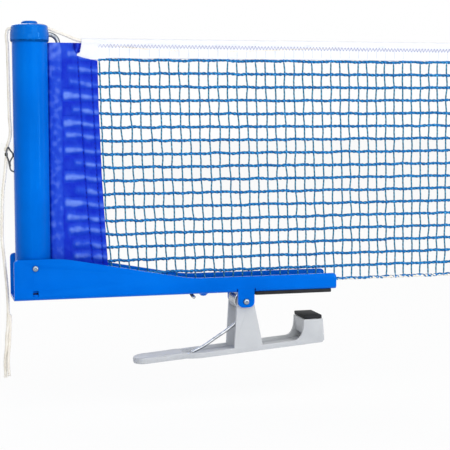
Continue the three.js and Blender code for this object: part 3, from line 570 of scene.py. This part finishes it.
def make_tail():
    """The headline's loose end: it hangs from the crimp, is doubled lower down and frays."""
    side_x = crimp_place.x
    top = crimp_place.z - 1.3
    low = corner("cord_tail", 0).z
    sway = [0.0, 0.9, 2.2, 2.7, 3.1, 3.1, 2.3, 1.5, 0.8, 0.5, 0.8]
    points = [(side_x - s, 0, top - (top - low) * i / 10) for i, s in enumerate(sway)]
    points += shifted(side_x, low, [(-1.6, -0.2, -7), (-1.9, 0.4, -14), (-2.7, 0.6, -21), (-2.6, 0.4, -30)])
    route = smooth_route(points, 0.7)
    tail = rope("cord_tail_strand", route, 1.0, 6.5)
    fit(tail, cord_cotton, "tail_cotton", "cord_tail", "tail_end")
    second = smooth_route(shifted(side_x, low, [
        (0.6, 0.4, 6), (0.7, 0.3, 1), (0.3, 0.6, -6), (0.0, 0.4, -12), (-0.7, -0.9, -17),
        (-1.1, -1.5, -22), (-0.7, -1.2, -29)]), 0.6)
    doubled = rope("cord_tail_doubled_strand", second, 0.95, 6.0)
    fit(doubled, cord_cotton, "tail_end_cotton")
    random.seed(11)
    fibres = []
    for tip in [route[-1]] * 12 + [second[-1]] * 12:
        lean = Vector((random.uniform(-1, 1), random.uniform(-1, 1), 0)) * 0.9
        fibre = [tip + Vector((0, 0, 2.5)) + lean * 0.4, tip + lean * 0.9,
                 tip + lean * 1.3 - Vector((0, 0, 1.3))]
        fibres.append((smooth_route(fibre, 0.5), 0.13))
    fray = tubes("cord_tail_fray", fibres, 4)
    fit(fray, cord_cotton, "tail_end_cotton")


def make_headline():
    """From the hook up the post's side, over and through the cap, down to the tape and inside it."""
    thick = 1.1
    bottom = corner("headline_cord", 0).z
    cord_z = corner("headline_cord", 1).z - thick
    side_x = corner("headline_cord", 0).x + thick
    cap_left = corner("post_cap", 0).x
    cap_right = corner("post_cap", 1).x
    points = [(knot_place.x + 0.1, 0, knot_place.z + 0.6), (knot_place.x + 0.6, 0, bottom + 0.6),
              (side_x + 1.7, 0, bottom + 4.5), (side_x + 1.7, 0, bottom + 18),
              (side_x + 1.5, 0, cord_z - 24), (side_x + 1.3, 0, cord_z - 10),
              (cap_left - 1.9, 0, cord_z - 2.2), (cap_left - 1.3, 0, cord_z - 0.5),
              (cap_left - 0.1, 0, cord_z), (post_x, 0, cord_z), (cap_right + 0.6, 0, cord_z),
              (cap_right + 1.6, 0, cord_z - 0.35), (cap_right + 9.5, 0, cord_z - 3.2),
              (edge_x - 103.5, 0, headline_z + 0.5), (edge_x - 100.5, 0, headline_z),
              (net_end - 20, 0, headline_z), (net_end + 0.6, 0, headline_z)]
    cord = rope("headline_cord_twisted", smooth_route(points, 0.9), 1.0, 6.0)
    fit(cord, cord_cotton, "headline_cotton", "headline_cord")


def make_bottom_cord():
    """The cord that runs level along the net's foot."""
    points = [(x, 0, bottom_cord_z) for x in (corner("bottom_cord", 0).x, net_end - 20, net_end + 0.6)]
    cord = rope("bottom_cord_twisted", smooth_route(points, 1.2), 0.9, 5.0, sides=12)
    fit(cord, cord_cotton, "bottom_cotton", "bottom_cord")


def make_knots():
    """The knots in the ends of the headline and the bottom cord, and the headline's on the hook."""
    for node, slot, size, thickness in (
            ("headline_end_knot", "end_knot_cotton", 1.15, 0.62),
            ("bottom_end_knot", "low_knot_cotton", 1.0, 0.55),
            ("cord_knot", "knot_cotton", 1.0, 0.55)):
        knot = overhand_knot(node + "_tied", middle(node), size, thickness)
        fit(knot, cord_cotton, slot, node)


make_tail()
make_headline()
make_bottom_cord()
make_knots()


# ---------------- bracket, post and lever

def make_rigid_pieces():
    """The pressed, drawn and moulded pieces, with their edges rounded as their making leaves them."""
    shapes = {"post_cap": barrel_cap, "clamp_lever": faired_lever, "channel_bracket": taller_back}
    for node, made, material, slot, edge, segments in (
            ("channel_bracket", "pressing", bracket_enamel, "bracket_paint", 0.35, 2),
            ("table_pad", "sheet", rubber, "pad_rubber", 0.25, 2),
            ("post_tube", "drawn", post_enamel, "post_paint", 0.15, 2),
            ("post_insert", "moulding", navy_plastic, "insert_plastic", 0.0, 2),
            ("post_cap", "moulding", cap_plastic, "cap_plastic", 0.15, 2),
            ("rod_foot", "moulding", cap_plastic, "foot_plastic", 0.4, 2),
            ("spring_spool", "moulding", spool_plastic, "spool_plastic", 0.3, 2),
            ("cord_crimp", "bead", crimp_metal, "crimp_metal", 0.35, 3),
            ("clamp_lever", "moulding", lever_plastic, "lever_plastic", 0.45, 3),
            ("jaw_pad", "sheet", rubber, "jaw_rubber", 0.4, 2)):
        piece = rounded_copy(f"{node}_{made}", node, edge, segments, shapes.get(node))
        body = "lever" if node in ("clamp_lever", "jaw_pad") else "bracket"
        fit(piece, material, slot, node, body=body)
    for node, slot, head, dimple in (
            ("post_rivet", "rivet_steel", 1.65, 0.75), ("pivot_pin", "pin_steel", 1.75, 0.7)):
        fit(set_rivet(node + "_set", node, head, dimple), pin_steel, slot, node)


def make_net_rod():
    """The rod that leaves the cap, arches over and goes down the sleeve into its foot."""
    radius, bend = 1.35, 5.2
    height = corner("net_rod", 1).z - radius
    start = corner("net_rod", 0).x
    foot = corner("net_rod", 0).z
    straight, drop = rod_x - bend - start, height - bend - foot
    bpy.ops.object.select_all(action="DESELECT")
    bpy.ops.mesh.primitive_circle_add(
        vertices=20, radius=radius * MM, fill_type="NGON",
        location=(start * MM, 0, height * MM), rotation=(0, math.radians(90), 0))
    piece = bpy.context.object
    piece.name = "net_rod_bent"
    bpy.ops.object.transform_apply(location=True, rotation=True, scale=True)
    bpy.ops.object.mode_set(mode="EDIT")
    bpy.ops.mesh.select_mode(type="FACE")
    bpy.ops.mesh.select_all(action="SELECT")
    bpy.ops.mesh.extrude_region_move(TRANSFORM_OT_translate={"value": (straight * MM, 0, 0)})
    bpy.ops.mesh.spin(steps=12, angle=math.radians(90), axis=(0, -1, 0),
                      center=((rod_x - bend) * MM, 0, (height - bend) * MM))
    bpy.ops.mesh.extrude_region_move(TRANSFORM_OT_translate={"value": (0, 0, -drop * MM)})
    bpy.ops.mesh.select_all(action="SELECT")
    bpy.ops.mesh.remove_doubles(threshold=WELD)
    bpy.ops.mesh.normals_make_consistent(inside=False)
    bpy.ops.object.mode_set(mode="OBJECT")
    ends = piece.modifiers.new("ends", "BEVEL")
    ends.width = 0.3 * MM
    ends.segments = 2
    ends.angle_limit = math.radians(60)
    apply_modifiers(piece)
    bpy.ops.object.shade_smooth_by_angle(angle=math.radians(40))
    fit(piece, rod_steel, "rod_chrome", "net_rod")


def make_spring():
    """Wound wire, swept along its path because no spin or screw gives it its two bent legs.

    One leg runs under the channel and turns across it, the other lies in the lever's trough.
    """
    radius, coil, far, turns = 1.0, 5.3, 6.9, 5.25
    upper_reach, lower_reach, lower_drop, lower_shift = 30.0, 32.6, 31.0, 2.9
    lean = math.radians(7)
    under = corner("table_pad", 1).z - 1.35
    start = Vector((pivot.x - coil * math.sin(lean), far, pivot.z + coil * math.cos(lean)))
    knee = Vector((start.x - (start.z - under) / math.tan(lean), far, under))
    leg_x = pivot.x - upper_reach
    upper = [(leg_x - 1.26, -far - 1.5, under - 1.0), (leg_x - 1.08, -0.4 * far, under - 0.7),
             (leg_x - 0.54, far - 3.6, under - 0.2), (leg_x, far - 0.54, under),
             (leg_x + 1.8, far, under), knee, (start + knee) / 2, start]
    upper = smooth_route(upper, 1.0)[:-1]
    steps = int(24 * turns)
    wound = []
    for i in range(steps + 1):
        angle = -lean + (2 * math.pi * turns + lean) * i / steps
        wound.append(Vector((pivot.x + coil * math.sin(angle), far - 2 * far * i / steps,
                             pivot.z + coil * math.cos(angle))))
    # the lower leg's bow: shares of its reach back, its drop and its shift inwards
    bow = [(0, 0.03, 0), (0.016, 0.09, 0), (0.071, 0.195, 0), (0.153, 0.305, 0.03),
           (0.272, 0.43, 0.1), (0.427, 0.575, 0.24), (0.591, 0.705, 0.41), (0.794, 0.87, 0.69), (1, 1, 1)]
    lower = [Vector((pivot.x + coil - back * (coil + lower_reach), inward * lower_shift - far,
                     pivot.z - down * lower_drop)) for back, down, inward in bow]
    lower = smooth_route([wound[-1]] + lower, 1.0)[1:]
    piece = tubes("torsion_spring_wound", [(upper + wound + lower, radius)], 14)
    piece.data.materials.append(spring_steel)
    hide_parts("torsion_spring")
    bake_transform(piece)


def make_hook():
    """Thin wire, swept because it bends freely: out of the post, up, and into a kite for the cord."""
    outside = post_x - POST_RADIUS
    shank = [(2.5, 0.0, 77.2), (1.4, 0.0, 75.9), (0.0, 0.0, 75.8), (-1.5, 0.0, 76.6), (-2.3, 0.0, 79.2)]
    kite = [(-3.0, -0.5, -6.1), (-3.8, -1.3, -3.8), (-4.0, -1.4, -1.0), (-3.0, -0.9, 1.2),
            (-1.8, -0.3, -0.6), (-0.4, 0.1, -2.5), (-0.3, 0.1, -3.8), (-1.5, -0.3, -5.9),
            (-2.2, -1.0, -7.4), (-1.9, -1.1, -9.8)]
    points = shifted(outside, 0, shank) + shifted(outside, knot_place.z, kite)
    hook = tubes("tension_hook_bent", [(smooth_route(points, 0.4), 0.46)], 10)
    fit(hook, hook_steel, "hook_wire", "tension_hook")


make_rigid_pieces()
make_net_rod()
make_spring()
make_hook()


# ---------------- sleeve

# (height, distance from the table's edge) down the sleeve's open side and its two seams
SLEEVE_EDGE = [(8, -86.9), (24, -87.9), (71, -90.7), (114, -92.2), (140, -92.6), (150, -92.8)]
SEAM_ONE = [(8, -96.2), (22.5, -97.1), (71.5, -100.7), (142.5, -104.3), (150, -104.7)]
SEAM_TWO = [(8, -90.0), (22.3, -90.8), (71.4, -93.7), (138.2, -96.6), (150, -97.1)]
# (distance, height) along its upper edge: full height round the rod, then a step for the tape
SLEEVE_TOP = [(-122, 149.6), (-105.3, 149.6), (-104.7, 142.3), (-100.4, 140.9), (-96.3, 140.1),
              (-92.5, 139.6)]
# from the top down: where across the first panel each gather starts, and how strongly it stands
GATHERS = [(0.3, 0.55), (0.38, 0.65), (0.0, 0.95), (0.45, 0.65), (0.0, 0.95), (0.06, 0.85),
           (0.04, 0.9), (0.5, 0.62), (0.0, 1.0), (0.5, 0.6), (0.0, 1.0), (0.06, 0.85),
           (0.14, 0.8), (0.3, 0.65), (0.3, 0.75), (0.1, 0.8)]
GATHER_TOP, ROW_PITCH = 135.4, 7.853
sleeve_left = edge_x - 121.9


def between(table, z):
    """Reads a line of (height, distance) pairs at a height, as a place in the frame."""
    return edge_x + line_at(table, z)


def pucker(x, z, face, share, panel):
    """How far the nearest gather stands out, and how much of it there is, from 0 to 1."""
    n = round((GATHER_TOP - z) / ROW_PITCH)
    chance = random.Random(31 * n + 7 * face + 4)
    start, strong = GATHERS[min(max(n, 0), len(GATHERS) - 1)]
    middle_z = GATHER_TOP - ROW_PITCH * n + chance.uniform(-0.5, 0.5)
    middle_z += chance.uniform(-0.06, 0.02) * (x - edge_x + 104)
    wide = chance.uniform(1.7, 2.2)
    if panel == 0:
        amount = strong * min(1.0, max(0.0, (share - start) / 0.16)) ** 0.7
        amount *= 1 - 0.35 * max(0.0, share - 0.5) / 0.5
        wide *= 1.4 - 0.45 * share if start < 0.2 else 0.9 + 0.3 * share
    elif panel == 1:
        amount = 0.8 * (0.75 + 0.25 * math.sin(math.pi * share))
        middle_z -= 0.5 + 0.8 * share
    else:
        amount = 0.6
        middle_z -= 1.2
    amount *= 1 + 0.25 * noise.noise(Vector((x * 0.3, face * 5, z * 0.4)))
    return math.exp(-((z - middle_z) / wide) ** 2), max(amount, 0.0)


def sleeve_surface(x, z, face):
    """Half the sleeve's thickness and its cloth's painted sheen and shade with random tone, on the front (-1)
    or back (1).
    """
    seam_a, seam_b, right = [between(line, z) for line in (SEAM_ONE, SEAM_TWO, SLEEVE_EDGE)]
    band = edge_x - 113.8 + 0.7 * noise.noise(Vector((0, face * 3, z * 0.12)))
    pocket = 1.1 + 1.1 * math.exp(-((x - rod_x) / 4.6) ** 4)
    blot = noise.noise(Vector((x * 0.2, face * 9, z * 0.17)))
    if x < band:
        mottle = noise.noise(Vector((x * 0.33, face * 4, z * 0.3)))
        height = amount = 0.0
        # painted shade along the band's edge, on a random mottle
        pale = 0.5 + 0.34 * mottle - 0.2 * math.exp(-((x - band) / 0.8) ** 2)
    else:
        edges = [band, seam_a, seam_b, max(right, seam_b + 0.1)]
        panel = 0 if x < seam_a else 1 if x < seam_b else 2
        share = min((x - edges[panel]) / (edges[panel + 1] - edges[panel]), 1.0)
        height, amount = pucker(x, z, face, share, panel)
        # painted sheen on each gather's crest and painted shade between gathers, with random blotches
        pale = 0.06 + 0.2 * blot + 1.05 * height * amount
    # paler towards the top
    pale += 0.22 * min(1.0, max(0.0, (z - 138.0) / 4.0))
    crease = 0.14 * noise.noise(Vector((x * 0.9, face * 2, z * 0.7)))
    seam = math.exp(-((x - seam_a) / 0.5) ** 2) + math.exp(-((x - seam_b) / 0.45) ** 2)
    half = pocket + amount * (1.5 * height - 0.6) + crease - 0.45 * seam
    if x < sleeve_left + 1.4:
        close = min(1.0, (x - sleeve_left) / 1.4)
    else:
        close = min(1.0, max(0.0, (right - x) / 0.7) + 0.35)
    half = max(0.32, half * math.sqrt(max(close, 0.0)))
    # darker along the seams
    return half, min(max(pale - 0.3 * seam, 0.0), 1.0)


def sleeve_bend(x):
    """The pocket's loose fold lies round the back of the post."""
    return 1.75 * max(0.0, edge_x - 120.4 - x) ** 2


def make_sleeve():
    """A nylon pocket on the rod, sewn twice beside it and gathered into puckers by its stitching."""
    low, level = corner("net_sleeve", 0).z, 138.5
    columns, rows, last = 80, 290, 16
    corners, sheen_and_tone = [], []
    for j in range(rows + last + 1):
        height = low + (level - low) * j / rows
        for face in (1, -1):
            for i in range(columns, -1, -1) if face > 0 else range(1, columns + 1):
                z = height
                right = between(SLEEVE_EDGE, min(z, level))
                x = sleeve_left + (right - sleeve_left) * i / columns
                if j > rows:
                    z = level + (line_at(SLEEVE_TOP, x - edge_x) - level) * (j - rows) / last
                # lift here is the cloth's painted sheen and shade, with random tone
                half, lift = sleeve_surface(x, z, face)
                corners.append((x, sleeve_bend(x) + face * (half if i else 0.0), z))
                sheen_and_tone.append(lift)
    piece = mesh_piece("net_sleeve_gathered", corners, strip_faces(rows + last, 2 * columns + 1))
    store_sheen_and_tone(piece, sheen_and_tone)
    thicken(piece, 0.3)
    fit(piece, sleeve_nylon, "sleeve_nylon", "net_sleeve")


def make_sleeve_stitches():
    """Lock stitches down both seams, on both faces."""
    length, pitch = 1.7, 2.6
    low, high = corner("net_sleeve", 0).z + 1, tape_low - 1.0
    stitches = []
    for seam, top in ((SEAM_ONE, high + 1), (SEAM_TWO, high - 1)):
        z = low
        while z + length < top:
            for face in (-1, 1):
                ends = []
                for height in (z, z + length / 2, z + length):
                    x = between(seam, height)
                    half, _ = sleeve_surface(x, height, face)
                    ends.append(Vector((x, face * (half + 0.05), height)))
                stitches.append((ends, 0.28))
            z += pitch
    fit(tubes("sleeve_stitches", stitches, 6), seam_thread, "sleeve_nylon")


def make_corner_fold():
    """The sleeve's upper corner, which overhangs the tape's pointed end and curls over; its cloth carries
    painted shade at the edges and painted light across the middle.
    """
    outline = [(-106.9, 149.6), (-104.4, 149.6), (-102.1, 149.5), (-102.5, 146.9),
               (-102.95, 144.3), (-105.2, 143.15), (-105.9, 145.0), (-106.6, 147.3)]
    front = [-1.5, -1.9, -1.5, -1.9, -1.5, -1.3, -1.9, -1.9]
    corners = [(edge_x + x, depth, z) for (x, z), depth in zip(outline, front)]
    corners += [(edge_x + x, 1.2, z) for x, z in outline]
    corners += [(edge_x - 104.2, -2.9, 147.0), (edge_x - 104.2, 1.5, 147.0)]
    n = len(outline)
    faces = [(k, (k + 1) % n, 2 * n) for k in range(n)]
    faces += [(n + k, n + (k + 1) % n, 2 * n + 1) for k in range(n)]
    faces += [(k, (k + 1) % n, (k + 1) % n + n, k + n) for k in range(n)]
    piece = mesh_piece("sleeve_corner_fold", corners, faces)
    soft = piece.modifiers.new("soft", "SUBSURF")
    soft.subdivision_type = "SIMPLE"
    soft.levels = soft.render_levels = 3
    apply_modifiers(piece)
    sheen_and_tone = []
    for vertex in piece.data.vertices:
        x, z = vertex.co.x / MM - edge_x, vertex.co.z / MM
        vertex.co.y -= 0.25 * MM * noise.noise(Vector((x * 1.1, 0, z * 1.1)))
        # painted light across the fold's middle, falling to painted shade towards its edges
        sheen_and_tone.append(min(max(0.75 - 0.55 * abs(x + 104.6 - 0.25 * (z - 147)), 0.0), 1.0))
    store_sheen_and_tone(piece, sheen_and_tone)
    fit(piece, shaded_fold_nylon, "sleeve_nylon")


make_sleeve()
make_sleeve_stitches()
make_corner_fold()


# ---------------- net

NET_COLUMNS, NET_ROWS = 39, 18
COLUMN_PITCH = 5.94
SLEEVE_COVER = 0.8  # how far past the sleeve's edge a column has to lie to show


def uneven(phase):
    """A twisted row's radius: two plies that wind round it, and a swell along it."""
    return lambda run, angle: 0.84 * (1 + 0.2 * math.cos(2 * angle - 2.1 * run - phase)
                                      + 0.1 * math.sin(1.7 * run + phase))


def wavering(points, sway):
    """Adds a point halfway between each two, moved aside by what sway gives."""
    route = []
    for a, b in zip(points, points[1:]):
        route += [a, (a + b) / 2 + sway()]
    return route + [points[-1]]


def make_net():
    """Square meshes of knotted twine: thick rows, thin columns that lean with the sleeve, knots."""
    random.seed(5)
    top_z, net_height, last_column = 140.16, 115.0, NET_COLUMNS - 1
    crossing = {}
    for k in range(NET_ROWS):
        for i in range(NET_COLUMNS):
            z = top_z - ROW_PITCH * k
            down = (top_z - z) / net_height
            lean = 3.2 * down * (1 - (i / last_column) ** 5) + 2.4 * down ** 4 * math.exp(-i / 3.0)
            x = first_column_x + COLUMN_PITCH * i + lean
            ease = 0.0 if i == last_column else 1.0
            x += ease * random.uniform(-0.42, 0.42)
            z += random.uniform(-0.3, 0.3)
            crossing[i, k] = Vector((x, random.uniform(-0.1, 0.1), z))
    rows = []
    for k in range(NET_ROWS):
        points = [crossing[i, k] for i in range(NET_COLUMNS)]
        z = points[0].z
        start = Vector((between(SLEEVE_EDGE, z) - 0.2, 0, z + 0.2))
        if points[0].x - start.x < 1.2:
            points = points[1:]
        bumpy = wavering([start] + points, lambda: Vector((
            random.uniform(-0.3, 0.3), random.uniform(-0.15, 0.15), random.uniform(-0.34, 0.2))))
        rows.append((smooth_route(bumpy, 1.0), uneven(random.uniform(0, 6))))
    fit(tubes("net_rows_twine", rows, 7), row_nylon, "net_cord", "net_mesh")
    columns = []
    for i in range(NET_COLUMNS):
        points = [crossing[i, k] for k in range(NET_ROWS)]
        points = [p for p in points if p.x > between(SLEEVE_EDGE, p.z) + SLEEVE_COVER]
        if len(points) < 2:
            continue
        wavy = wavering(points, lambda: Vector((random.uniform(-0.22, 0.22), random.uniform(-0.1, 0.1), 0)))
        columns.append((smooth_route(wavy, 1.7), 0.47))
    fit(tubes("net_columns_twine", columns, 6), column_nylon, "net_cord")
    knots = []
    for place in crossing.values():
        if place.x < between(SLEEVE_EDGE, place.z) + SLEEVE_COVER:
            continue
        tilt = random.uniform(-0.5, 0.5)
        across = Vector((math.cos(tilt), 0, math.sin(tilt)))
        ends = [place - across * 0.95, place - across * 0.35 - Vector((0, 0.2, 0)),
                place + across * 0.35, place + across * 0.95]
        knots.append((ends, 1.05))
    fit(tubes("net_knots_twine", knots, 6), highlit_knot_nylon, "net_cord")


make_net()


# ---------------- tape

# the tape's left end: (height, distance) up its slanted cut, and (distance, height) along its foot
TAPE_START = [(143.1, -105.4), (143.5, -105.3), (144.2, -103.1), (149.4, -102.2), (152.5, -101.8)]
TAPE_LOW = [(-105.4, 143.1), (-104.7, 142.2), (-100.4, 140.7), (-96.3, 139.9), (-92.5, 140.0),
            (-86.0, 141.0)]
TAPE_SEAM = 148.3


def tape_section(x):
    """The folded tape round the headline at x: a hood above, two layers sewn together below."""
    wave = 0.12 * noise.noise(Vector((x * 0.05, 2, 0)))
    low = tape_low + 0.15 * noise.noise(Vector((x * 0.09, 5, 0)))
    half = [(0.0, net_top), (0.75, net_top - 0.25), (1.35, net_top - 0.95), (1.55, net_top - 1.9),
            (1.3, net_top - 2.9), (0.92, TAPE_SEAM + 0.2), (0.78, TAPE_SEAM - 0.8),
            (0.86, TAPE_SEAM - 2.4), (0.88, low + 2.5), (0.74, low + 0.5), (0.62, low), (0.0, low - 0.05)]
    return wave, half


def make_tape():
    """White tape folded over the headline, cut on the slant at its left end."""
    settled, first, steps = edge_x - 86.0, 40, 240
    corners = []
    for i in range(first + steps + 1):
        station = settled + (net_end - settled) * max(0, i - first) / steps
        wave, half = tape_section(station)
        for face in (1, -1):
            for y, z in reversed(half[:-1]) if face > 0 else half[1:-1]:
                x = station
                if i <= first:
                    share = i / first
                    lowest = line_at(TAPE_LOW, -105.4 + 19.4 * share)
                    z = net_top - (net_top - z) * (net_top - lowest) / (net_top - tape_low)
                    x = between(TAPE_START, z)
                    x += (settled - x) * share
                corners.append((x, face * y + wave, z))
    around = 2 * (len(half) - 2) + 1
    piece = mesh_piece("top_tape_folded", corners, strip_faces(first + steps, around))
    thicken(piece, 0.45)
    fit(piece, tape_cotton, "tape_cotton", "top_tape")


def make_tape_sewing():
    """Zigzag stitches under the hood, and faint ridges where the net's columns are sewn in."""
    zigzag_start, zigzag_z, pitch = edge_x - 92.0, 148.2, 1.02
    stitches = []
    for face in (-1, 1):
        points = []
        x, k = zigzag_start, 0
        while x < net_end - 1:
            wave, _ = tape_section(x)
            rise = (1.05 if k % 2 else -1.05) - 0.0035 * (x - zigzag_start)
            points.append(Vector((x, wave + face * (1.02 if k % 2 else 0.86), zigzag_z + rise)))
            x += pitch
            k += 1
        stitches.append((points, 0.23))
    fit(tubes("tape_zigzag_stitches", stitches, 5), stitch_cotton, "tape_cotton")
    ridges = []
    for i in range(1, NET_COLUMNS - 1):
        x = first_column_x + COLUMN_PITCH * i
        wave, _ = tape_section(x)
        for face in (-1, 1):
            ridges.append(([Vector((x + 0.1 * (j % 2), wave + face * 0.66, tape_low + 0.8 + 1.1 * j))
                            for j in range(6)], 0.3))
    fit(tubes("tape_thread_ridges", ridges, 5), mark_cotton, "tape_cotton")


make_tape()
make_tape_sewing()


# ---------------- floor and light

# name, place, width, height and power of each lamp, in metres and watts
LAMPS = [("overhead_softbox", (-0.1, -0.85, 1.2), 1.1, 1.1, 6.9),
         ("right_softbox", (0.4, -1.1, 0.45), 0.8, 0.8, 3.9),
         ("right_strip", (0.79, -0.82, 0.1), 0.03, 0.6, 2.4),
         ("left_fill", (-0.95, -1.0, 0.5), 0.4, 0.4, 0.7),
         ("low_fill", (-0.25, -1.1, 0.02), 0.5, 0.5, 1.6),
         ("back_softbox", (-0.45, 1.0, 0.75), 0.9, 0.9, 5.0)]
LAMPS_AIM = Vector((-0.06, 0, 0.05))


def seen_by(owner, *rays):
    """1 for the kinds of ray that are named, 0 for the others."""
    path = add_node(owner, "LightPath").outputs
    seen = path[rays[0]]
    for ray in rays[1:]:
        seen = add_node(owner, "Math", {0: seen, 1: path[ray]}, operation="MAXIMUM").outputs[0]
    return seen


def make_floor():
    """A pale floor under all that moves: nearly white to the eye, with faint shadows."""
    clearance, whiteness = 22, 0.93
    bpy.ops.object.select_all(action="DESELECT")
    bpy.ops.mesh.primitive_plane_add(size=12, location=(0, 0, (tail_tip_z - clearance) * MM))
    floor = bpy.context.object
    floor.name = "studio_floor"
    material, shader = start_material("pale_floor", "#F4F5F7", 0.9)
    seen = seen_by(material, "Is Camera Ray", "Is Glossy Ray")
    white = add_node(material, "Math", {0: seen}, {1: whiteness}, operation="MULTIPLY")
    glow = add_node(material, "Emission", sockets={"Color": (1, 1, 1, 1), "Strength": 1.0})
    mixed = {0: white.outputs["Value"], 1: shader.outputs["BSDF"], 2: glow.outputs["Emission"]}
    add_node(material, "MixShader", mixed,
             into=material.node_tree.nodes["Material Output"].inputs["Surface"])
    floor.data.materials.append(material)


def make_light():
    """A white room to the eye that lights softly, and six soft lamps."""
    world = bpy.data.worlds.new("studio")
    scene.world = world
    world.use_nodes = True
    background = world.node_tree.nodes["Background"]
    background.inputs["Color"].default_value = (1, 1, 1, 1)
    seen = seen_by(world, "Is Camera Ray", "Is Glossy Ray", "Is Transmission Ray")
    add_node(world, "MapRange", {"Value": seen}, {"To Min": 0.36, "To Max": 1.0},
             into=background.inputs["Strength"])
    for name, place, wide, high, power in LAMPS:
        data = bpy.data.lights.new(name, "AREA")
        data.shape = "RECTANGLE"
        data.size, data.size_y = wide, high
        data.energy = power
        lamp = bpy.data.objects.new(name, data)
        scene.collection.objects.link(lamp)
        turn = (LAMPS_AIM - Vector(place)).to_track_quat("-Z", "Y").to_matrix().to_4x4()
        lamp.matrix_world = Matrix.Translation(place) @ turn


make_floor()
make_light()
scene.view_settings.view_transform = "Standard"
